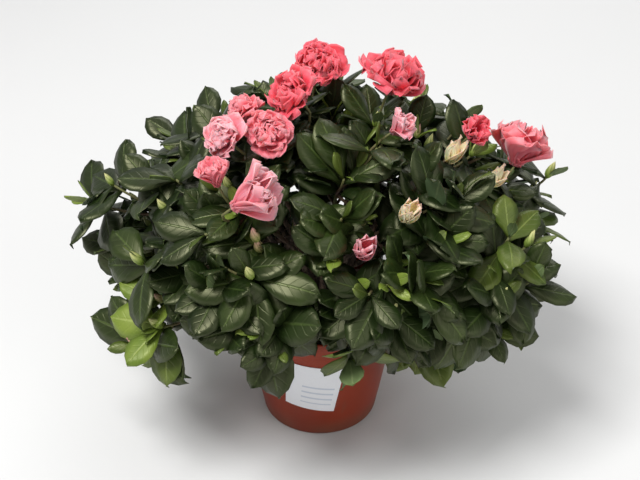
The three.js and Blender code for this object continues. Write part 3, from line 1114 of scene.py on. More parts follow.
@dataclass
class Plan:
    """The limbs, stems, shoots and blossom stalks of the plant, in millimetres."""

    gap: float = 0.3
    crown_centre: float = 130.0
    crown: Mound = Mound(left=166.0, right=162.0, front=130.0, back=148.0, up=104.0)
    bloom_crown: Mound = Mound(left=158.0, right=158.0, front=150.0, back=150.0, up=137.0)
    soil_top: float = 87.0
    trunk_top: float = 116.0
    trunk_flare: float = 10.5
    flare_share: float = 0.35
    trunk_waist: float = 7.6
    trunk_tip: float = 6.0
    trunk_lean: tuple = (2.5, -1.5)
    trunk_bend: tuple = (-1.0, 0.6)
    heart_share: float = 0.46
    bough_starts: tuple = (0.38, 0.7)
    bough_rises: tuple = (30.0, 40.0)
    bough_bow: float = 0.4
    main_base: float = 3.0
    side_base: float = 2.2
    side_bow: float = 0.36
    squareness: float = 0.75
    sibling_step: float = 0.14
    shoot_count: int = 5
    shoot_spread: float = 11.5
    axis_jitter: float = 3.0
    spread_jitter: float = 1.5
    bearing_jitter: float = 14.0
    shortest: float = 0.78
    up_turn: float = 0.35
    shoot_bow: float = 0.35
    stem_share: float = 0.3
    stem_sway: float = 3.0
    top_shoot: float = 0.97
    first_shoot: float = 0.35
    shoot_step: float = 0.15
    bloom_sink: float = 0.3
    stalk_at: float = 0.9
    bud_upturn: float = 0.3
    bud_seat: float = 0.42
    opening_buds: tuple = (
        (1230, 20.0, Blush.CREAM),
        (2020, 22.0, Blush.PALE),
        (530, 16.0, Blush.CREAM),
        (520, 19.0, Blush.CREAM),
        (1350, 16.0, Blush.CREAM),
        (1730, 14.0, Blush.PALE),
        (840, 16.0, Blush.CORAL),
    )
    rings: tuple = (
        Ring("top", 66.0, 0.0, 0.6, (20, 110, 200, 290), (1.02, 1, 1, 0.96)),
        Ring(
            "shoulder", 37.0, 11.0, 0.0,
            (7, 52, 97, 142, 187, 232, 277, 322), (1.02, 0.97, 1.03, 0.98, 0.95, 1.03, 0.97, 1.02),
        ),
        Ring(
            "waist", 8.0, 19.0, 0.4,
            (20, 58, 94, 128, 163, 203, 248, 292, 336), (1.07, 1, 0.96, 1.02, 1.1, 0.88, 1, 0.96, 0.93),
        ),
        Ring("skirt", -11.0, 0.0, 0.2, (350, 60, 110, 160, 205), (0.95, 1, 1.02, 0.94, 1)),
    )

    STEM_SEED = 7

    def __post_init__(self) -> None:
        """Works out the trunk, the masses, their boughs and the blossoms."""
        self.centre = Vector((0.0, 0.0, self.crown_centre))
        self.trunk = self._trunk_line()
        self.masses = self._masses()
        self._give_boughs()
        self.axes = np.array([tuple(mass.axis) for mass in self.masses])
        self.blooms = self._blooms()
        self.opening = self._opening_buds()

    def in_crown(self, way: Vector, share: float) -> Vector:
        """Returns the point at a share of the crown's reach in a direction."""
        return self.centre + way * (self.crown.reach(way) * share)

    def _trunk_line(self) -> Curve:
        """Draws the trunk's line.

        Returns:
            The line, from the flat cut on the soil to the fork.
        """
        foot = Vector((0.0, 0.0, self.soil_top + self.gap))
        fork = Vector((*self.trunk_lean, self.trunk_top))
        middle = foot.lerp(fork, 0.5) + Vector((*self.trunk_bend, 0.0))
        return Curve(foot, middle * 2 - (foot + fork) / 2, fork)

    def trunk_radius(self, share: float) -> float:
        """Returns the trunk's radius at a share of its height: a root flare, then a gentle taper."""
        flare = (self.trunk_flare - self.trunk_waist) * max(0.0, 1 - share / self.flare_share) ** 2
        return lerp(self.trunk_waist, self.trunk_tip, share) + flare

    def _masses(self) -> list[Mass]:
        """Lays out the masses.

        Returns:
            The masses, ring by ring from the top.
        """
        masses: list[Mass] = []
        for ring in self.rings:
            for i, (azimuth, stretch) in enumerate(zip(ring.azimuths, ring.stretches), 1):
                front = max(0.0, -math.sin(math.radians(azimuth)))
                axis = heading(azimuth, ring.elevation + ring.lift * front * front)
                heart = self.in_crown(axis, self.heart_share)
                seed = 100 * (len(masses) + 1)
                masses.append(Mass(f"{ring.name}_{i}", ring, azimuth, axis, seed, heart, stretch))
        return masses

    def _give_boughs(self) -> None:
        """Gives each mass its bough: the shoulder's from the trunk, the others from one of those."""
        mains = [mass for mass in self.masses if mass.ring.name == "shoulder"]
        for order, mass in enumerate(mains):
            start = self.trunk.at(self.bough_starts[order % 2])
            set_off = heading(mass.azimuth, self.bough_rises[order % 2])
            bow = (mass.heart - start).length * self.bough_bow
            line = Curve(start, start + set_off * bow, mass.heart - mass.axis * bow, mass.heart)
            mass.bough = Bough(line, self.main_base, None)
        for mass in self.masses:
            if mass.bough:
                continue
            parent = min(mains, key=lambda main: self._turn_between(main.azimuth, mass.azimuth)).bough
            siblings = [
                other for other in self.masses
                if other.bough and other.bough.parent is parent and other.ring is mass.ring
            ]
            share = mass.ring.parent_at + self.sibling_step * len(siblings)
            mass.bough = Bough(self._side_bough(mass, parent, share), self.side_base, parent)

    @staticmethod
    def _turn_between(first: float, second: float) -> float:
        """Returns the turn between two azimuths, from 0 to 180 degrees."""
        turn = (first - second) % 360
        return min(turn, 360 - turn)

    def _side_bough(self, mass: Mass, parent: Bough, share: float) -> Curve:
        """Draws a bough that leaves another, square to it at first.

        Args:
            mass: the mass that it carries.
            parent: the bough that it leaves.
            share: the share of the parent's length where it does.

        Returns:
            The bough's line.
        """
        start, along = parent.line.at(share), parent.line.aim(share)
        towards = mass.heart - start
        set_off = (towards - along * (self.squareness * towards.dot(along))).normalized()
        bow = towards.length * self.side_bow
        return Curve(start, start + set_off * bow, mass.heart - mass.axis * bow, mass.heart)

    def stem(self, mass: Mass) -> Curve:
        """Draws the stem inside a mass, which carries on from its bough's tip.

        Args:
            mass: the mass.

        Returns:
            The stem's line.
        """
        sway = Dice(mass.seed + self.STEM_SEED)
        start = mass.heart + mass.axis * self.gap
        end = start + mass.axis * (self.crown.reach(mass.axis) * self.stem_share)
        end += Vector([sway.either(self.stem_sway) for _ in range(3)])
        return Curve(start, end)

    def shoots(self, mass: Mass) -> list[Twig]:
        """Lays out the main shoots of a mass.

        Args:
            mass: the mass.

        Returns:
            One shoot on its axis and the rest in a ring round it.
        """
        dice = Dice(mass.seed)
        phase = 360 * dice.roll()
        stem = self.stem(mass)
        shoots = []
        for k in range(self.shoot_count):
            if k:
                away = self.shoot_spread + dice.either(self.spread_jitter)
            else:
                away = dice.roll() * self.axis_jitter
            bearing = phase + 360 * k / (self.shoot_count - 1) + dice.either(self.bearing_jitter)
            way = leaning(mass.axis, away, bearing)
            share = lerp(self.shortest, 1.0, dice.roll()) if k else 1.0
            end = self.in_crown(way, share * mass.stretch)
            aim = (way + UP * self.up_turn).normalized()
            start = stem.at(self.first_shoot + self.shoot_step * k if k else self.top_shoot)
            bow = (end - start).length * self.shoot_bow
            line = Curve(start, end - aim * bow, end)
            shoots.append(Twig(line, mass, mass.seed + 10 * (k + 1), True))
        return shoots

    def _opening_buds(self) -> list[Bloom]:
        """Sets the buds that are just opening.

        Returns:
            The buds, each at the end of its shoot.
        """
        shoots = {shoot.seed: shoot for mass in self.masses for shoot in self.shoots(mass)}
        buds = []
        for seed, width, blush in self.opening_buds:
            line = shoots[seed].line
            aim = (line.aim(1.0) + UP * self.bud_upturn).normalized()
            bud = Bloom(0.0, 0.0, 1.0, width, (), blush, Stage.BUD, mass=shoots[seed].mass)
            bud.centre, bud.aim = line.at(1.0) + aim * (width * self.bud_seat), aim
            buds.append(bud)
        return buds

    def _blooms(self) -> list[Bloom]:
        """Sets the blossoms in their places on the crown.

        Returns:
            The blossoms with their stalks.
        """
        blooms = [
            Bloom(90, 76, 1.05, 36, (290, 62), Blush.DEEP, flare=0.62),
            Bloom(212, 81, 1.05, 40, (200, 44), Blush.DEEP, flare=0.6),
            Bloom(29, 66, 1.06, 48, (335, 68), Blush.DEEP, flare=0.52),
            Bloom(334, 65, 0.97, 19, (345, 40), Blush.PALE, Stage.HALF),
            Bloom(196, 68, 1.02, 27, (160, 60), Blush.CORAL, flare=0.7),
            Bloom(231, 68, 1.0, 30, (262, 50), Blush.CORAL, flare=0.75),
            Bloom(214, 59, 1.04, 30, (205, 48), Blush.PALE, flare=0.6),
            Bloom(227, 49, 1.04, 20, (170, 72), Blush.CORAL, Stage.HALF),
            Bloom(244, 46.5, 1.05, 35, (8, 26), Blush.PALE, Stage.HALF),
            Bloom(2, 33.6, 1.12, 47, (50, 62), Blush.CORAL, flare=0.08),
            Bloom(358, 46, 1.03, 20, (300, 50), Blush.DEEP, Stage.HALF),
        ]
        for bloom in blooms:
            way = heading(bloom.azimuth, bloom.elevation)
            bloom.mass = max(self.masses, key=lambda mass: mass.axis.dot(way))
            sunk = bloom.width * self.bloom_sink
            bloom.centre = self.centre + way * (self.bloom_crown.reach(way) * bloom.out)
            bloom.aim = heading(*bloom.facing)
            foot = bloom.centre - bloom.aim * sunk
            start = self.stem(bloom.mass).at(self.stalk_at)
            bow = (start - foot).length * self.shoot_bow
            bloom.stalk = Curve(start, foot - bloom.aim * bow, foot)
        return blooms


# The pot, its sticker and its soil


@dataclass
class Pot:
    """The thin-walled nursery pot: tapered, with a stepped rim band, a turned lip and drain holes."""

    height: float = 98.0
    rim_radius: float = 60.0
    base_radius: float = 43.5
    under_rim: float = 57.6
    wall: float = 1.2
    band: float = 15.0
    sides: int = 112
    hole_count: int = 6
    hole_radius: float = 4.0
    hole_circle: float = 33.0
    drill_depth: float = 8.0
    drill_sides: int = 24
    crease: float = 32.0

    def wall_radius(self, height: float) -> float:
        """Returns the outer radius of the plain wall at a height."""
        return lerp(self.base_radius, self.under_rim, height / (self.height - self.band))

    def _profile(self) -> list[tuple[float, float]]:
        """Draws half of the section through the pot.

        Returns:
            Radius and height of each ring, from the underside round to the inner floor.
        """
        foot = self.height - self.band
        rim, wall = self.rim_radius, self.wall
        outside = [(self.base_radius - 1.8, 0.0), (self.base_radius - 0.5, 0.5), (self.base_radius, 1.8)]
        outside += [(self.wall_radius(z), z) for z in (20.0, 45.0, 70.0, foot - 0.6)]
        step = [(self.under_rim + 0.2, foot), (rim - 1.4, foot + 0.5), (rim - 0.9, foot + 1.3)]
        band = [(rim - 0.6, foot + 7.0), (rim - 0.35, foot + 7.4)]
        band += [(rim - 0.3, foot + 10.8), (rim, foot + 11.2)]
        lip = [(rim, self.height - 1.3), (rim - 0.4, self.height - 0.4), (rim - 1.2, self.height)]
        lip += [(rim - 1.9, self.height - 0.3), (rim - 2.2, self.height - 1.2)]
        inside = [(rim - 2.4, foot + 1.5), (self.under_rim - wall, foot - 0.5)]
        inside += [(self.wall_radius(z) - wall, z) for z in (60.0, 25.0)]
        floor = [(self.base_radius - wall, wall + 1.6), (self.base_radius - wall - 1.8, wall)]
        return outside + step + band + lip + inside + floor

    def build(self) -> bpy.types.Object:
        """Raises the pot and cuts its drain holes.

        Returns:
            The pot.
        """
        pot = raised_from_disc("pot_shell", upright_rings(self._profile()), self.sides)
        clear_pick()
        cutters = []
        for i in range(self.hole_count):
            turn = 2 * math.pi * i / self.hole_count
            where = (self.hole_circle * math.cos(turn) * MM, self.hole_circle * math.sin(turn) * MM, 0.0)
            depth, radius = self.drill_depth * MM, self.hole_radius * MM
            bpy.ops.mesh.primitive_cylinder_add(
                vertices=self.drill_sides, radius=radius, depth=depth, location=where
            )
            cutters.append(new_piece(f"drill_{i}"))
        for cutter in cutters:
            cutter.select_set(True)
        bpy.ops.object.join()
        drill = bpy.context.active_object
        add_modifier(pot, "BOOLEAN", operation="DIFFERENCE", object=drill, solver="EXACT")
        bpy.data.objects.remove(drill)
        shade(pot, self.crease)
        pot.data.materials.append(PLASTIC.make())
        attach(pot, BODY)
        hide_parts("pot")
        return pot


@dataclass
class Sticker:
    """The blank sticker on the pot's wall."""

    width: float = 40.0
    height: float = 46.0
    thickness: float = 0.35
    azimuth: float = 264.0
    middle: float = 52.0
    tilt: float = 8.0
    gap: float = 0.12
    columns: int = 28
    rows: int = 14
    crease: float = 40.0

    def build(self, pot: Pot) -> bpy.types.Object:
        """Bends the sticker round the pot.

        Args:
            pot: the pot that it is stuck to.

        Returns:
            The sticker.
        """
        clear_pick()
        bpy.ops.mesh.primitive_grid_add(x_subdivisions=self.columns, y_subdivisions=self.rows, size=1.0)
        sticker = new_piece("sticker")
        girth = pot.wall_radius(self.middle)
        askew = math.radians(self.tilt)

        def bend(place: Vector) -> Vector:
            """Bends a point of the flat grid round the pot's wall, a little askew.

            Args:
                place: a point of the plain mesh.

            Returns:
                The point on the wall.
            """
            x, y = place.x * self.width, place.y * self.height
            up = self.middle + y * math.cos(askew) - x * math.sin(askew)
            turn = math.radians(self.azimuth) + (x * math.cos(askew) + y * math.sin(askew)) / girth
            out = pot.wall_radius(up) + self.gap
            return Vector((out * math.cos(turn), out * math.sin(turn), up)) * MM

        reshape(sticker, bend)
        add_modifier(sticker, "SOLIDIFY", thickness=self.thickness * MM, offset=1.0)
        tidy_normals(sticker)
        shade(sticker, self.crease)
        sticker.data.materials.append(STICKER.make())
        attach(sticker, BODY)
        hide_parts("label")
        return sticker


@dataclass
class Soil:
    """The peat that fills the pot: a lumpy, slightly domed top with crumbs on it.

    Each of its layers of lumps has a number of its own, a fineness and a height in millimetres.
    """

    top: float
    edge: float = 81.5
    dip: float = 0.4
    dome_radius: float = 55.0
    lumps: tuple = ((3.0, 0.16, 1.1), (9.0, 0.5, 0.5))
    clearance: float = 0.4
    foot: float = 6.0
    innermost: float = 0.4
    ring_rise: float = 0.01
    crumbs: int = 420
    crumb_sizes: tuple = (0.5, 1.7)
    trunk_room: float = 12.0
    edge_room: float = 1.5
    rings: int = 16
    sides: int = 72

    CRUMB_SEED = 9001

    def _height(self, x: float, y: float) -> float:
        """Measures the soil's top.

        Args:
            x: how far the place is to the right of the middle, in millimetres.
            y: how far it is behind the middle.

        Returns:
            The height of the top there.
        """
        height = lerp(self.top - self.dip, self.edge, (math.hypot(x, y) / self.dome_radius) ** 2)
        for layer, fineness, size in self.lumps:
            height += noise.noise(Vector((x, y, layer)) * fineness) * size
        return height

    def build(self, pot: Pot) -> list[bpy.types.Object]:
        """Makes the body of the soil and its crumbs.

        Args:
            pot: the pot that it fills.

        Returns:
            The soil and the crumbs.
        """
        clearance = pot.wall + self.clearance
        outer = pot.wall_radius(self.edge) - clearance
        profile = [(pot.wall_radius(self.foot / 2) - clearance - 2.0, pot.wall + 0.3)]
        profile += [(pot.wall_radius(self.foot) - clearance, self.foot), (outer, self.edge)]
        for i in range(1, self.rings + 1):
            profile.append((outer * (1 - i / self.rings) + self.innermost, self.edge + self.ring_rise * i))
        soil = raised_from_disc("soil_body", upright_rings(profile), self.sides)

        def lump(place: Vector) -> Vector:
            """Lifts a point of the flat top to its height on the dome.

            Args:
                place: a point of the plain mesh.

            Returns:
                The lifted point.
            """
            x, y, z = place / MM
            if z < self.edge - 0.5:
                return place
            return Vector((x, y, self._height(x, y))) * MM

        reshape(soil, lump)
        shade(soil)
        soil.data.materials.append(PEAT.make())
        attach(soil, BODY)
        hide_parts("soil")
        return [soil, self._crumbs(outer)]

    def _crumbs(self, outer: float) -> bpy.types.Object:
        """Scatters the loose crumbs.

        Args:
            outer: the radius of the soil's top, in millimetres.

        Returns:
            The crumbs.
        """
        clear_pick()
        bpy.ops.mesh.primitive_ico_sphere_add(subdivisions=1, radius=1.0, calc_uvs=True)
        master = new_piece("crumb_master")
        reshape(master, lambda place: place * (1 + noise.noise(place * 1.7) * 0.45))
        crumb = Shape.of(master)
        dice = Dice(self.CRUMB_SEED)
        span = outer - self.edge_room
        shapes = []
        while len(shapes) < self.crumbs:
            x, y = dice.either(span), dice.either(span)
            if not self.trunk_room < math.hypot(x, y) < span:
                continue
            size = dice.between(*self.crumb_sizes)
            turn = leaning(UP, dice.between(0, 180), dice.between(0, 360))
            level, other = cross_axes(turn)
            scale = Vector((size, size * dice.between(0.6, 1.0), size * 0.8)) * MM
            where = Vector((x, y, self._height(x, y) + size * 0.2)) * MM
            shapes.append(crumb.placed(turn_array(level, other, turn, scale), where))
        crumbs = joined_object("soil_crumbs", shapes, smooth=False)
        crumbs.data.materials.append(PEAT.make())
        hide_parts("soil")
        return crumbs


# Wood


@dataclass
class Limbs:
    """The trunk and its boughs in one skin with the bark's relief."""

    voxel: float = 0.75
    relief: float = 0.45
    knobs: float = 0.3
    trunk_sides: int = 28
    trunk_steps: int = 10
    bough_sides: int = 12
    bough_steps: int = 10

    def _trunk(self, plan: Plan) -> bpy.types.Object:
        """Raises the trunk from its flat cut, ring by ring along its line.

        Args:
            plan: the plan of the plant.

        Returns:
            The trunk.
        """
        shares = [i / self.trunk_steps for i in range(self.trunk_steps + 1)]
        rings = [(plan.trunk.at(share), plan.trunk_radius(share)) for share in shares]
        return raised_from_disc("limbs", rings, self.trunk_sides)

    def build(self, plan: Plan) -> bpy.types.Object:
        """Fuses trunk and boughs and lays the bark's ridges on them.

        Args:
            plan: the plan of the plant.

        Returns:
            The limbs.
        """
        trunk = self._trunk(plan)
        boughs = [mass.bough for mass in plan.masses]
        tubes = [tube(bough.line, bough.radius, self.bough_sides, self.bough_steps) for bough in boughs]
        branches = joined_object("boughs", tubes)
        pick_only(trunk)
        branches.select_set(True)
        bpy.ops.object.join()
        limbs = bpy.context.active_object
        add_modifier(limbs, "REMESH", mode="VOXEL", voxel_size=self.voxel * MM)
        add_modifier(limbs, "SMOOTH", factor=0.5, iterations=3)
        foot = (plan.soil_top + plan.gap) * MM
        normals = [vertex.normal.copy() for vertex in limbs.data.vertices]
        for vertex, normal in zip(limbs.data.vertices, normals):
            where = vertex.co / MM
            ridge = noise.noise(Vector((where.x * 0.9, where.y * 0.9, where.z * 0.22)))
            knob = noise.noise(where * 0.3)
            vertex.co += normal * ((ridge * self.relief + knob * self.knobs) * MM)
            vertex.co.z = max(vertex.co.z, foot)
        shade(limbs)
        limbs.data.materials.append(BARK.make())
        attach(limbs, BODY)
        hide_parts("trunk", *(f"bough_{mass.name}" for mass in plan.masses))
        return limbs


# Leaves


@dataclass
class LeafCut:
    """One cut of leaf, a unit long and a unit wide, modelled once and copied to its many places."""

    arch: float
    curl: float
    ripple: float
    twist: float
    thickness: float = 0.012

    ROWS = (0.0, 0.18, 0.38, 0.58, 0.76, 0.9, 1.0)
    BROADEST = 0.6
    STALK = 0.05
    STALK_WIDTH = 0.03

    def half_width(self, along: float) -> float:
        """Measures the blade: a short stalk, then a blunt oval.

        Args:
            along: the share of its length.

        Returns:
            Half its width there.
        """
        if along > self.BROADEST:
            share = (along - self.BROADEST) / (1 - self.BROADEST)
            return 0.5 * max(1 - share**2, 0.0) ** 0.72
        past_stalk = max(along - self.STALK, 0.0)
        swell = math.sin(math.pi / 2 * past_stalk / (self.BROADEST - self.STALK)) ** 1.15
        return max(0.5 * swell, self.STALK_WIDTH)

    def lift(self, along: float, side: float) -> float:
        """Measures how high the blade lies over its root.

        Args:
            along: the share of its length.
            side: the side, from -1 to 1.

        Returns:
            The height, as a share of its length.
        """
        droop = self.arch * (0.55 * along - 1.25 * along * along)
        rolled = -self.curl * side * side * 0.25
        gutter = -0.018 * math.exp(-((side / 0.18) ** 2)) * math.sin(math.pi * along)
        wave = self.ripple * math.sin(along * 9.0 + side * 1.6) * abs(side) * along
        return droop + rolled + gutter + wave + self.twist * side * along

    def build(self) -> Shape:
        """Shapes a grid into the blade and gives it its thickness.

        Returns:
            The blade.
        """
        clear_pick()
        rows = len(self.ROWS)
        bpy.ops.mesh.primitive_grid_add(x_subdivisions=4, y_subdivisions=rows - 1, size=1.0)
        leaf = new_piece("leaf_master")

        def shape(place: Vector) -> Vector:
            """Moves a point of the flat grid to its place on the blade.

            Args:
                place: a point of the plain mesh.

            Returns:
                The moved point.
            """
            side = place.x * 2
            along = self.ROWS[round((place.y + 0.5) * (rows - 1))]
            return Vector((side * self.half_width(along), along, self.lift(along, side)))

        reshape(leaf, shape)
        leaf.data.materials.append(None)
        leaf.data.materials.append(None)
        open_mesh(leaf)
        bpy.ops.mesh.remove_doubles(threshold=1e-4)
        bpy.ops.object.mode_set(mode="OBJECT")
        add_modifier(leaf, "SOLIDIFY", thickness=self.thickness, offset=-1.0, material_offset=1)
        return Shape.of(leaf)


@dataclass
class LeafSpot:
    """Where one leaf grows."""

    root: Vector
    along: Vector
    over: Vector
    length: float
    width: float
    cut: int
    tone: Tone


@dataclass
class LeafWish:
    """How a leaf grows where it has all the room that it wants."""

    bearing: float
    spread: float
    size: float
    girth: float
    tone: Tone
    skin: float


@dataclass(frozen=True)
class Habit:
    """How the end of a twig grows: its number of leaves, their sizes and how often it has a bud."""

    leaves: tuple
    vigour: tuple
    bud_share: float


@dataclass
class Foliage:
    """The twigs of every mass with the whorls of leaves and the buds at their ends."""

    plan: Plan
    pot: Pot
    main: Habit = Habit((7, 10), (0.9, 1.1), 0.42)
    finer: Habit = Habit((5, 8), (0.78, 1.0), 0.1)
    length: float = 47.0
    width: float = 27.0
    light: Vector = field(default_factory=lambda: heading(262, 62) * 0.55)
    before: Vector = field(default_factory=lambda: heading(270, 36))
    cell: float = 3.4
    skin: tuple = (17.0, 42.0)
    own_margin: float = -3.0
    swings: tuple = (0, 18, -18, 36, -36)
    folds: int = 4
    fold: float = 13.0
    shorten: float = 0.07
    sag: float = 0.08
    upright: float = 0.35
    shared_cells: int = 1
    first_leaf: float = 0.8
    leaf_step: float = 1.9
    airy_loss: int = 2
    lowest_leaf: float = 0.05
    spread: tuple = (54.0, 100.0)
    budded_spread: float = 70.0
    spread_jitter: float = 8.0
    bearing_jitter: float = 9.0
    size_jitter: float = 0.08
    girth_jitter: float = 0.1
    inmost_size: float = 0.82
    small_leaves: int = 3
    bright_leaves: int = 3
    fresh_share: float = 0.3
    fresh_leaves: int = 3
    young_turn: float = 60.0
    young_spread: tuple = (20.0, 9.0)
    young_jitter: float = 5.0
    young_sizes: tuple = (0.36, 0.52)
    young_girth: float = 0.72
    tone_shares: tuple = (0.56, 0.98)
    stem_radii: tuple = (1.75, 1.2)
    stem_root: float = 2.0
    stem_mesh: tuple = (8, 4)
    twig_radii: tuple = (1.25, 0.85)
    twig_mesh: tuple = (6, 7)
    limb_room: float = 0.8
    pot_room: float = 4.0
    bloom_room: float = 0.46
    bloom_front: float = 0.4
    opening_room: float = 0.52
    opening_end: float = 0.7
    opening_front: float = 0.75
    bud_ahead: float = 22.0
    bud_room: float = 11.0
    low_gap: tuple = (-92.0, -55.0, -30.0, 61.0)
    gap_slope: float = 0.64
    side_shares: tuple = (0.42, 0.66, 0.3)
    side_leans: tuple = (34, 52)
    side_lengths: tuple = (24, 38)
    side_lift: float = 0.4
    inner_count: int = 4
    inner_at: float = 0.1
    inner_leans: tuple = (28, 46)
    inner_lengths: tuple = (34, 52)
    inner_lift: float = 0.3
    twig_bow: float = 0.4
    hanging_bow: float = 12.0
    least_leaves: int = 3
    airy: tuple = ("shoulder_4", "shoulder_5", "waist_5", "waist_6", "skirt_5")
    hanging: tuple = ((2030, 0.6, (20.0, -101.0, 119.0), 2098),)
    bud_lengths: tuple = (12.0, 17.0)
    bud_lift: float = 0.8
    bud_girth: float = 0.42
    bud_sink: float = 1.0
    blush_share: float = 0.2
    sure_buds: tuple = (
        1040, 1130, 1120, 1910, 1840, 2040, 2210, 2140, 1720, 2630, 930, 550, 640, 1640, 2440,
    )
    bright_sprays: tuple = (2650, 1830, 2114, 2098, 2140, 640, 1520, 1640, 2440, 850)
    cuts: tuple = (
        LeafCut(0.1, 0.1, 0.012, 0.0),
        LeafCut(0.2, 0.14, 0.018, 0.05),
        LeafCut(0.3, 0.08, 0.01, -0.06),
        LeafCut(0.05, 0.2, 0.02, 0.04),
        LeafCut(0.16, 0.26, 0.014, -0.03),
    )

    SIDE_SEED = 3
    INNER_SEED = 91
    FELT_ROWS = (0.25, 0.4, 0.55, 0.7, 0.85, 0.97)
    FELT_SIDES = (-1.0, -0.5, 0.0, 0.5, 1.0)
    BOUGH_BALLS = 16
    TRUNK_BALLS = 10

    def __post_init__(self) -> None:
        """Lays out the balls of space that stay clear, before anything grows."""
        self.taken: dict[tuple[int, int, int], int] = {}
        self.spots: list[LeafSpot] = []
        self.buds: list[tuple[Vector, Vector, float, Tone]] = []
        self.twigs: list[Twig] = []
        self.balls = np.array(self._limb_balls() + self._bloom_balls())
        self.bare_tips = {seed for seed, _, _ in self.plan.opening_buds} | set(self.sure_buds)

    def _limb_balls(self) -> list[tuple]:
        """Lists balls along the boughs and the trunk, with room to spare.

        Returns:
            The centre and radius of each ball, in millimetres.
        """
        limbs = [(mass.bough.line, mass.bough.radius, self.BOUGH_BALLS) for mass in self.plan.masses]
        limbs.append((self.plan.trunk, self.plan.trunk_radius, self.TRUNK_BALLS))
        balls = []
        for line, radius, steps in limbs:
            for i in range(steps + 1):
                balls.append((*line.at(i / steps), radius(i / steps) + self.limb_room))
        return balls

    def _bloom_balls(self) -> list[tuple]:
        """Lists balls round and before each blossom and bud that shows, so that no leaf hides it.

        Returns:
            The centre and radius of each ball, in millimetres.
        """
        balls = []
        for bloom in self.plan.blooms:
            balls.append((*bloom.centre, bloom.width * self.bloom_room))
            front = bloom.centre + self.before * bloom.width * self.bloom_front
            balls.append((*front, bloom.width * self.bloom_front))
        for bud in self.plan.opening:
            balls.append((*bud.centre, bud.width * self.opening_room))
            balls.append((*(bud.centre + bud.aim * bud.width), bud.width * self.opening_end))
            balls.append((*(bud.centre + self.before * bud.width), bud.width * self.opening_front))
        for shoot in (shoot for mass in self.plan.masses for shoot in self.plan.shoots(mass)):
            if shoot.seed in self.sure_buds:
                ahead = shoot.line.at(1.0) + shoot.line.aim(1.0) * self.bud_ahead
                balls.append((*ahead, self.bud_room))
        return balls

    def _clear(self, mass: Mass, places: np.ndarray, margin: float, skin: float) -> bool:
        """Tells whether places keep to a mass's wedge and clear of limbs, pot and blossom.

        Args:
            mass: the mass.
            places: an array of points, in millimetres.
            margin: how far they stay inside the wedge.
            skin: how far they may stand out past the shoots' ends.

        Returns:
            Whether every place does.
        """
        away = places - np.array(tuple(self.plan.centre))
        if (np.linalg.norm(away, axis=1) > self._reaches(away) * mass.stretch + skin).any():
            return False
        across = np.array(tuple(mass.axis)) - self.plan.axes
        spans = np.linalg.norm(across, axis=1)
        others = spans > 1e-9
        if ((away @ across[others].T) / spans[others] < margin).any():
            return False
        reach = np.linalg.norm(places[:, None, :] - self.balls[None, :, :3], axis=2)
        if (reach < self.balls[None, :, 3]).any():
            return False
        over_pot = np.hypot(places[:, 0], places[:, 1]) < self.pot.rim_radius + self.pot_room
        if (over_pot & (places[:, 2] < self.pot.height + self.pot_room)).any():
            return False
        left, right, back, top = self.low_gap
        beside = (places[:, 0] > left) & (places[:, 0] < right) & (places[:, 1] < back)
        return not (beside & (places[:, 2] < top - places[:, 1] * self.gap_slope)).any()

    def _reaches(self, away: np.ndarray) -> np.ndarray:
        """Measures the crown in many directions.

        Args:
            away: an array of points, from the crown's centre.

        Returns:
            How far the shoots reach in the direction of each.
        """
        crown = self.plan.crown
        near, far = (crown.left, crown.front, crown.down), (crown.right, crown.back, crown.up)
        halves = np.where(away < 0, near, far)
        ways = away / np.linalg.norm(away, axis=1, keepdims=True)
        return 1 / np.linalg.norm(ways / halves, axis=1)

    def _cells(self, places: np.ndarray) -> list[tuple[int, int, int]]:
        """Returns the cells of space that places fall in."""
        return [tuple(cell) for cell in np.floor(places / self.cell).astype(int)]

    def _blade(self, spot: LeafSpot) -> np.ndarray:
        """Feels all over a leaf's blade.

        Args:
            spot: where the leaf grows.

        Returns:
            An array of points of the blade.
        """
        across = spot.along.cross(spot.over)
        cut = self.cuts[spot.cut]
        places = []
        for along in self.FELT_ROWS:
            for side in self.FELT_SIDES:
                out = across * (side * cut.half_width(along) * spot.width)
                up = spot.over * (cut.lift(along, side) * spot.length)
                places.append(tuple(spot.root + spot.along * (along * spot.length) + out + up))
        return np.array(places)

    def _grow_leaf(
        self, twig: Twig, whorl: int, root: Vector, aim: Vector, wish: LeafWish, dice: Dice
    ) -> None:
        """Grows one leaf where it finds room: it swings round, folds up and shortens, or is left out.

        Args:
            twig: the twig that bears it.
            whorl: the whorl's number.
            root: where its stalk starts.
            aim: the twig's heading there.
            wish: how it grows where it has the room.
            dice: the whorl's dice.
        """
        cut = int(dice.roll() * len(self.cuts))
        for attempt in range(self.folds * len(self.swings)):
            lap, swing = divmod(attempt, len(self.swings))
            along = leaning(aim, wish.spread - self.fold * lap, wish.bearing + self.swings[swing])
            along = (along - UP * self.sag).normalized()
            over = aim + UP * self.upright
            over = (over - along * over.dot(along)).normalized()
            shrink = wish.size * (1 - self.shorten * lap)
            length, width = self.length * shrink, self.width * shrink * wish.girth
            spot = LeafSpot(root, along, over, length, width, cut, wish.tone)
            blade = self._blade(spot)
            if not self._clear(twig.mass, blade, self.own_margin, wish.skin):
                continue
            cells = self._cells(blade)
            met = sum(1 for cell in cells if self.taken.get(cell, whorl) != whorl)
            if met > self.shared_cells:
                continue
            for cell in cells:
                self.taken[cell] = whorl
            self.spots.append(spot)
            return

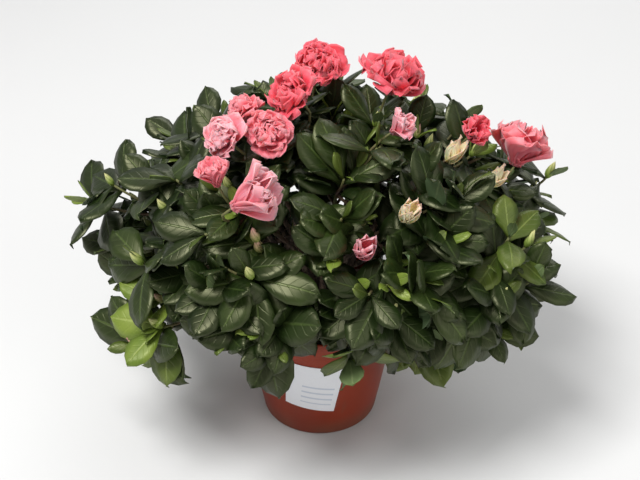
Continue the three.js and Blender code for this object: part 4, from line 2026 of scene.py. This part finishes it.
    def _grow_whorl(self, twig: Twig, whorl: int) -> None:
        """Grows the leaves and the bud at the end of a twig.

        Args:
            twig: the twig.
            whorl: the whorl's number.
        """
        dice = Dice(twig.seed)
        start = 360 * dice.roll()
        habit = self.main if twig.first else self.finer
        loss = self.airy_loss if twig.mass.name in self.airy else 0
        count = int(dice.between(*habit.leaves)) - loss
        bright = twig.seed in self.bright_sprays
        inmost = self.budded_spread if twig.seed in self.bare_tips else self.spread[0]
        dealt = self._deal_tone(dice)
        tone = Tone.OLIVE if bright else dealt
        vigour = dice.between(*habit.vigour)
        skin = dice.between(*self.skin)
        for i in range(count):
            share = 1 - (self.first_leaf + self.leaf_step * i) / twig.line.length
            if share <= self.lowest_leaf:
                break
            wish = LeafWish(
                bearing=start + GOLDEN_TURN * i + dice.either(self.bearing_jitter),
                spread=lerp(inmost, self.spread[1], i / (count - 1)) + dice.either(self.spread_jitter),
                size=vigour * lerp(self.inmost_size, 1.0, min(i / self.small_leaves, 1.0))
                * (1 + dice.either(self.size_jitter)),
                girth=1 + dice.either(self.girth_jitter),
                tone=Tone.YOUNG if bright and twig.first and i < self.bright_leaves else tone,
                skin=skin,
            )
            aim = (twig.line.aim(share) + self.light).normalized()
            self._grow_leaf(twig, whorl, twig.line.at(share), aim, wish, dice)
        self._grow_tip(twig, whorl, start, dice)

    def _grow_tip(self, twig: Twig, whorl: int, start: float, dice: Dice) -> None:
        """Grows the young leaves and the bud at a twig's very end.

        Args:
            twig: the twig.
            whorl: the whorl's number.
            start: the bearing of the first leaf.
            dice: the whorl's dice.
        """
        tip, aim = twig.line.at(1.0), twig.line.aim(1.0)
        fresh = dice.roll() < self.fresh_share and twig.first
        young = self.fresh_leaves if fresh else 1
        least, step = self.young_spread
        for i in range(0 if twig.seed in self.bare_tips else young):
            wish = LeafWish(
                bearing=start + self.young_turn + GOLDEN_TURN * i,
                spread=least + step * i + dice.either(self.young_jitter),
                size=dice.between(*self.young_sizes),
                girth=self.young_girth,
                tone=Tone.YOUNG if fresh else Tone.OLIVE,
                skin=self.skin[1],
            )
            self._grow_leaf(twig, whorl, tip, aim, wish, dice)
        habit = self.main if twig.first else self.finer
        if dice.roll() < habit.bud_share or twig.seed in self.sure_buds:
            colour = Tone.OLIVE if dice.roll() < self.blush_share else Tone.YOUNG
            if all((bloom.centre - tip).length > bloom.width for bloom in self.plan.opening):
                way = (aim + UP * self.bud_lift).normalized()
                self.buds.append((tip, way, dice.between(*self.bud_lengths), colour))

    def _deal_tone(self, dice: Dice) -> Tone:
        """Returns the green that a spray is dealt."""
        return list(Tone)[bisect_right(self.tone_shares, dice.roll())]

    def _twig_line(self, start: Vector, way: Vector, length: float, lift: float) -> Curve:
        """Draws a finer twig, which sets off straight and turns up towards its end.

        Args:
            start: where it starts.
            way: the unit direction of its end from there.
            length: how far its end is, in millimetres.
            lift: how much it turns up.

        Returns:
            The twig's line.
        """
        end = start + way * length
        return Curve(start, end - (way + UP * lift).normalized() * (length * self.twig_bow), end)

    def _side_twigs(self, shoot: Twig) -> list[Twig]:
        """Lays out the finer twigs that a main shoot carries on to.

        Args:
            shoot: the main shoot.

        Returns:
            The twigs.
        """
        seed = shoot.seed + self.SIDE_SEED
        dice = Dice(seed)
        twigs = []
        for k, share in enumerate(() if shoot.mass.name in self.airy else self.side_shares, 1):
            way = leaning(shoot.line.aim(share), dice.between(*self.side_leans), dice.between(0, 360))
            length = dice.between(*self.side_lengths)
            line = self._twig_line(shoot.line.at(share), way, length, self.side_lift)
            twigs.append(Twig(line, shoot.mass, seed + k, False))
        return twigs

    def _hanging_twigs(self, shoots: Sequence[Twig]) -> list[Twig]:
        """Lays out the side twigs that hang before the pot.

        Args:
            shoots: all the main shoots.

        Returns:
            The twigs.
        """
        twigs = []
        for parent, share, end, seed in self.hanging:
            shoot = next(shoot for shoot in shoots if shoot.seed == parent)
            start, tip = shoot.line.at(share), Vector(end)
            line = Curve(start, start + shoot.line.aim(share) * self.hanging_bow, tip)
            twigs.append(Twig(line, shoot.mass, seed, False))
        return twigs

    def _inner_twigs(self, mass: Mass) -> list[Twig]:
        """Lays out the short twigs low on a mass's stem, which fill its foot.

        Args:
            mass: the mass.

        Returns:
            The twigs.
        """
        seed = mass.seed + self.INNER_SEED
        dice = Dice(seed)
        start, phase = self.plan.stem(mass).at(self.inner_at), 360 * dice.roll()
        twigs = []
        for k in range(self.inner_count):
            lean = dice.between(*self.inner_leans)
            bearing = phase + 360 * k / self.inner_count + dice.either(20)
            length = dice.between(*self.inner_lengths)
            line = self._twig_line(start, leaning(mass.axis, lean, bearing), length, self.inner_lift)
            twigs.append(Twig(line, mass, seed + 1 + k, False))
        return twigs

    def _fits(self, twig: Twig) -> bool:
        """Tells whether a twig keeps to its mass's space and clear of the limbs."""
        places = np.array([tuple(twig.line.at(i / 8)) for i in range(2, 9)])
        return self._clear(twig.mass, places, self.plan.gap, self.skin[0])

    def grow(self) -> None:
        """Grows the main shoots and their whorls first, then the finer twigs between them."""
        shoots = [shoot for mass in self.plan.masses for shoot in self.plan.shoots(mass)]
        shoots = [shoot for shoot in shoots if self._fits(shoot)]
        finer = self._hanging_twigs(shoots)
        finer += [twig for shoot in shoots for twig in self._side_twigs(shoot)]
        full = [mass for mass in self.plan.masses if mass.name not in self.airy]
        finer += [twig for mass in full for twig in self._inner_twigs(mass)]
        twigs = shoots + [twig for twig in finer if self._fits(twig)]
        twigs.sort(key=lambda twig: twig.seed not in self.bright_sprays)
        for whorl, twig in enumerate(twigs):
            leaves, buds = len(self.spots), len(self.buds)
            self._grow_whorl(twig, whorl)
            if twig.first or len(self.spots) - leaves >= self.least_leaves:
                self.twigs.append(twig)
            else:
                del self.spots[leaves:], self.buds[buds:]

    def build(self) -> list[bpy.types.Object]:
        """Makes the leaves, one piece to each green, the twigs and the buds.

        Returns:
            The pieces.
        """
        masters = [cut.build() for cut in self.cuts]
        pieces = [self._leaf_piece(tone, masters) for tone in Tone]
        pieces.append(self._twig_piece())
        pieces += [self._bud_piece(colour) for colour in BUDS]
        return pieces

    def _leaf_piece(self, tone: Tone, masters: Sequence[Shape]) -> bpy.types.Object:
        """Makes all the leaves of one green.

        Args:
            tone: the green.
            masters: the leaf of each cut.

        Returns:
            The leaves.
        """
        shapes = []
        for spot in self.spots:
            if spot.tone is not tone:
                continue
            across = spot.along.cross(spot.over)
            size = Vector((spot.width, spot.length, spot.length)) * MM
            turn = turn_array(across, spot.along, spot.over, size)
            shapes.append(masters[spot.cut].placed(turn, spot.root * MM))
        return self._piece(f"leaves_{tone.value}", shapes, UPPER_SIDES[tone], UNDERSIDES[tone])

    def _twig_piece(self) -> bpy.types.Object:
        """Makes the stems, twigs and stalks.

        Returns:
            The twigs in one piece.
        """
        def taper(share: float) -> float:
            """Returns a twig's radius at a share of its length."""
            return lerp(*self.twig_radii, share)

        tubes = []
        for mass in self.plan.masses:
            stem = self.plan.stem(mass)
            longer = Curve(mass.heart - mass.axis * self.stem_root, stem.at(1.0))
            tubes.append(tube(longer, lambda share: lerp(*self.stem_radii, share), *self.stem_mesh))
        tubes += [tube(twig.line, taper, *self.twig_mesh) for twig in self.twigs]
        tubes += [tube(bloom.stalk, taper, *self.twig_mesh) for bloom in self.plan.blooms]
        return self._piece("twigs", tubes, TWIG)

    def _bud_piece(self, colour: Tone) -> bpy.types.Object:
        """Makes the closed buds of one colour.

        Args:
            colour: the colour.

        Returns:
            The buds.
        """
        clear_pick()
        bpy.ops.mesh.primitive_uv_sphere_add(segments=8, ring_count=7, radius=1.0, calc_uvs=True)
        master = new_piece("bud_master")

        def spindle(place: Vector) -> Vector:
            """Moves a point of the ball to its place on a pointed spindle.

            Args:
                place: a point of the plain mesh.

            Returns:
                The moved point.
            """
            up = (place.z + 1) / 2
            waist = 0.5 * math.sin(math.pi * up**0.72) ** 0.9 if 0 < up < 1 else 0.0
            flat = math.hypot(place.x, place.y) or 1.0
            return Vector((place.x / flat * waist, place.y / flat * waist, up))

        reshape(master, spindle)
        bud = Shape.of(master)
        shapes = []
        for tip, aim, length, tone in self.buds:
            if tone is not colour:
                continue
            level, other = cross_axes(aim)
            size = Vector((length * self.bud_girth, length * self.bud_girth, length)) * MM
            where = (tip - aim * self.bud_sink) * MM
            shapes.append(bud.placed(turn_array(level, other, aim, size), where))
        return self._piece(f"buds_{colour.value}", shapes, BUDS[colour])

    def _piece(
        self, name: str, shapes: Sequence[Shape],
        *finishes: LeafFinish | UndersideFinish | TwigFinish | BudFinish,
    ) -> bpy.types.Object:
        """Joins shapes into one piece that stands for the foliage solids, which it hides.

        Args:
            name: the piece's name.
            shapes: the placed shapes.
            *finishes: the finish of each of its materials, in order.

        Returns:
            The piece.
        """
        piece = joined_object(name, shapes)
        for finish in finishes:
            piece.data.materials.append(finish.make())
        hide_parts(*(f"foliage_{mass.name}" for mass in self.plan.masses))
        return piece


# Blossom


@dataclass(frozen=True)
class PetalRing:
    """A ring of petals in a double blossom. Lengths and widths are shares of the blossom's width."""

    count: int
    length: float
    width: float
    rise: float
    flare: float
    ruffle: float
    turn: float


@dataclass
class Blossom:
    """The double blossoms: rings of ruffled petals that crowd in towards the heart."""

    full_rings: tuple = (
        PetalRing(5, 0.6, 0.66, 34.0, 112.0, 0.075, 0.0),
        PetalRing(5, 0.6, 0.6, 26.0, 84.0, 0.1, 34.0),
        PetalRing(5, 0.6, 0.5, 17.0, 56.0, 0.12, 12.0),
        PetalRing(5, 0.6, 0.42, 8.0, 32.0, 0.13, 40.0),
        PetalRing(3, 0.58, 0.34, 2.0, 14.0, 0.12, 8.0),
    )
    half_rings: tuple = (
        PetalRing(5, 0.86, 0.66, 26.0, 46.0, 0.11, 0.0),
        PetalRing(5, 0.9, 0.54, 17.0, 34.0, 0.13, 36.0),
        PetalRing(4, 0.88, 0.44, 8.0, 20.0, 0.13, 12.0),
    )
    bud_rings: tuple = (
        PetalRing(5, 0.92, 0.6, 34.0, 0.0, 0.03, 0.0),
        PetalRing(3, 1.12, 0.56, 18.0, 2.0, 0.05, 40.0),
    )
    across: int = 12
    along: int = 8
    sunk: float = 0.32
    least_flare: float = 14.0
    thickness: float = 0.35
    cup: float = 0.16
    overlap: float = 0.07
    sway: float = 12.0
    slant: float = 0.12
    heart: float = 0.02

    SEED = 5000

    @staticmethod
    def half_width(along: float, pointed: bool) -> float:
        """Measures a petal: a narrow claw, then a round or pointed blade.

        Args:
            along: the share of its length.
            pointed: whether its blade is pointed.

        Returns:
            Half its width there, as a share of its breadth.
        """
        if pointed:
            return 0.12 + 0.38 * math.sin(math.pi * min(0.14 + along * 0.86, 1.0)) - 0.11 * along
        claw = 0.13 + 0.37 * math.sin(math.pi / 2 * min(along / 0.68, 1.0)) ** 1.3
        if along > 0.68:
            claw *= math.sqrt(max(1 - ((along - 0.68) / 0.36) ** 2, 0.0))
        return claw

    def _petal(self, ring: PetalRing, bloom: Bloom, dice: Dice) -> Shape:
        """Shapes a grid into one petal that stands in the blossom's x-z plane and leans out along x.

        Args:
            ring: the petal's ring.
            bloom: the blossom.
            dice: the blossom's dice.

        Returns:
            The petal, in metres, its claw at the origin.
        """
        clear_pick()
        bpy.ops.mesh.primitive_grid_add(x_subdivisions=self.across, y_subdivisions=self.along, size=1.0)
        petal = new_piece("petal_master")
        width, pointed = bloom.width, bloom.stage is Stage.BUD
        unruly = 0.4 if pointed else 1.0
        length = ring.length * width * (1 + dice.either(0.15 * unruly))
        spread = ring.width * width * (1 + dice.either(0.15 * unruly))
        phase, beat = dice.roll() * 6.3, dice.between(4.2, 7.5)
        flare = ring.flare if pointed else lerp(ring.rise + self.least_flare, ring.flare, bloom.flare)
        flare += dice.either(20.0 * unruly)
        path = [(0.0, 0.0)]
        for i in range(1, self.along + 1):
            lean = math.radians(lerp(ring.rise, flare, ((i - 0.5) / self.along) ** 1.15))
            step = length / self.along
            path.append((path[-1][0] + math.sin(lean) * step, path[-1][1] + math.cos(lean) * step))

        def shape(place: Vector) -> Vector:
            """Moves a point of the flat grid to its place on the ruffled petal.

            Args:
                place: a point of the plain mesh.

            Returns:
                The moved point.
            """
            side, row = place.x * 2, round((place.y + 0.5) * self.along)
            share = row / self.along
            out, up = path[row]
            lean = math.radians(lerp(ring.rise, flare, share))
            fold = ring.ruffle * width * share**1.4
            finer = 0.5 * math.sin(side * beat * 2.1 - phase * 1.7)
            ripple = fold * (math.sin(side * beat + phase) + finer)
            cupped = -self.cup * spread * side * side * (1 - 0.5 * share)
            lift = ripple * (0.35 + 0.65 * abs(side)) - cupped + side * spread * self.overlap
            return Vector((
                out - math.cos(lean) * lift,
                side * self.half_width(share, pointed) * spread,
                up + math.sin(lean) * lift,
            )) * MM

        reshape(petal, shape)
        add_modifier(petal, "SOLIDIFY", thickness=self.thickness * MM, offset=0.0)
        tidy_normals(petal)
        return Shape.of(petal)

    def _head(self, bloom: Bloom, seed: int) -> list[Shape]:
        """Makes the petals of one blossom.

        Args:
            bloom: the blossom.
            seed: the blossom's number.

        Returns:
            The petals in their places.
        """
        dice = Dice(self.SEED + seed)
        stages = {Stage.FULL: self.full_rings, Stage.HALF: self.half_rings, Stage.BUD: self.bud_rings}
        level, other = cross_axes(bloom.aim)
        base = bloom.centre - bloom.aim * (bloom.width * self.sunk)
        shapes = []
        for ring in stages[bloom.stage]:
            for k in range(ring.count):
                turn = math.radians(360 * k / ring.count + ring.turn + dice.either(self.sway))
                out = level * math.cos(turn) + other * math.sin(turn)
                side = bloom.aim.cross(out)
                aim = (bloom.aim + side * dice.either(self.slant)).normalized()
                petal = self._petal(ring, bloom, dice)
                start = base + out * (bloom.width * self.heart)
                shapes.append(petal.placed(turn_array(out, side, aim, Vector((1.0, 1.0, 1.0))), start * MM))
        return shapes

    def build(self, plan: Plan) -> list[bpy.types.Object]:
        """Makes the blossoms, one piece to each colour.

        Args:
            plan: the plan of the plant.

        Returns:
            The pieces.
        """
        pieces = []
        for blush in Blush:
            shapes = []
            for seed, bloom in enumerate(plan.blooms + plan.opening):
                if bloom.blush is blush:
                    shapes += self._head(bloom, seed)
            heads = joined_object(f"blossom_{blush.value}", shapes)
            heads.data.materials.append(PETALS[blush].make())
            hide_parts(*sorted({f"foliage_{bloom.mass.name}" for bloom in plan.blooms}))
            pieces.append(heads)
        return pieces


# The studio


@dataclass
class Studio:
    """The pale floor, the soft light and the camera, at the height and distance of the view.

    Each lamp has its name, its place, its width in metres and its power.
    """

    eye: tuple = (0.0, -0.7725, 0.66)
    target: tuple = (0.0, 0.0, 0.148)
    lens: float = 72.0
    lamps: tuple = (
        ("key", (-0.6, -0.6, 1.8), 0.8, 37.0),
        ("fill", (1.3, -0.9, 1.0), 1.4, 7.0),
        ("back", (0.4, 1.5, 1.3), 1.2, 12.0),
    )
    sky: tuple = (0.98, 0.98, 1.0)
    sky_strength: float = 0.4
    floor_size: float = 8.0
    floor_place: tuple = (0.0, 1.0, -0.0005)

    def build(self) -> None:
        """Makes floor, lights and camera."""
        clear_pick()
        bpy.ops.mesh.primitive_plane_add(size=self.floor_size, location=self.floor_place)
        floor = new_piece("floor")
        bpy.ops.object.transform_apply(location=True, rotation=True, scale=True)
        floor.data.materials.append(FLOOR.make())
        for name, place, width, power in self.lamps:
            lamp = bpy.data.lights.new(name, "AREA")
            lamp.size, lamp.energy = width, power
            self._stand(name, lamp, place)
        world = bpy.data.worlds.new("daylight")
        world.use_nodes = True
        backdrop = world.node_tree.nodes["Background"]
        backdrop.inputs["Color"].default_value = rgb(*self.sky)
        backdrop.inputs["Strength"].default_value = self.sky_strength
        bpy.context.scene.world = world
        bpy.context.scene.view_settings.view_transform = "Standard"
        camera = bpy.data.cameras.new("camera")
        camera.lens = self.lens
        bpy.context.scene.camera = self._stand("camera", camera, self.eye)

    def _stand(self, name: str, data: bpy.types.ID, place: tuple) -> bpy.types.Object:
        """Stands a lamp or the camera at a place, so that it faces the plant.

        Args:
            name: the object's name.
            data: the lamp or the camera.
            place: where it stands, in metres.

        Returns:
            The object.
        """
        thing = bpy.data.objects.new(name, data)
        thing.location = place
        thing.rotation_euler = (Vector(self.target) - Vector(place)).to_track_quat("-Z", "Y").to_euler()
        bpy.context.scene.collection.objects.link(thing)
        return thing


def report(pieces: Iterable[bpy.types.Object]) -> None:
    """Logs each piece with its count of triangles.

    Args:
        pieces: the pieces.
    """
    for piece in pieces:
        triangles = sum(len(face.vertices) - 2 for face in piece.data.polygons)
        LOG.info("%s: %d triangles", piece.name, triangles)


def write_sizes() -> None:
    """Updates the view layer, so that every object's place is current."""
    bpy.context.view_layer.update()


def main() -> None:
    """Builds the azalea, part by part, and its studio."""
    logging.basicConfig(level=logging.INFO, format="%(message)s")
    plan = Plan()
    pot = Pot()
    report([pot.build()])
    report([Sticker().build(pot)])
    report(Soil(plan.soil_top).build(pot))
    report([Limbs().build(plan)])
    foliage = Foliage(plan, pot)
    foliage.grow()
    counts = len(foliage.spots), len(foliage.twigs), len(foliage.buds)
    LOG.info("%d leaves on %d twigs, %d buds", *counts)
    report(foliage.build())
    report(Blossom().build(plan))
    Studio().build()
    write_sizes()


if __name__ == "__main__":
    main()
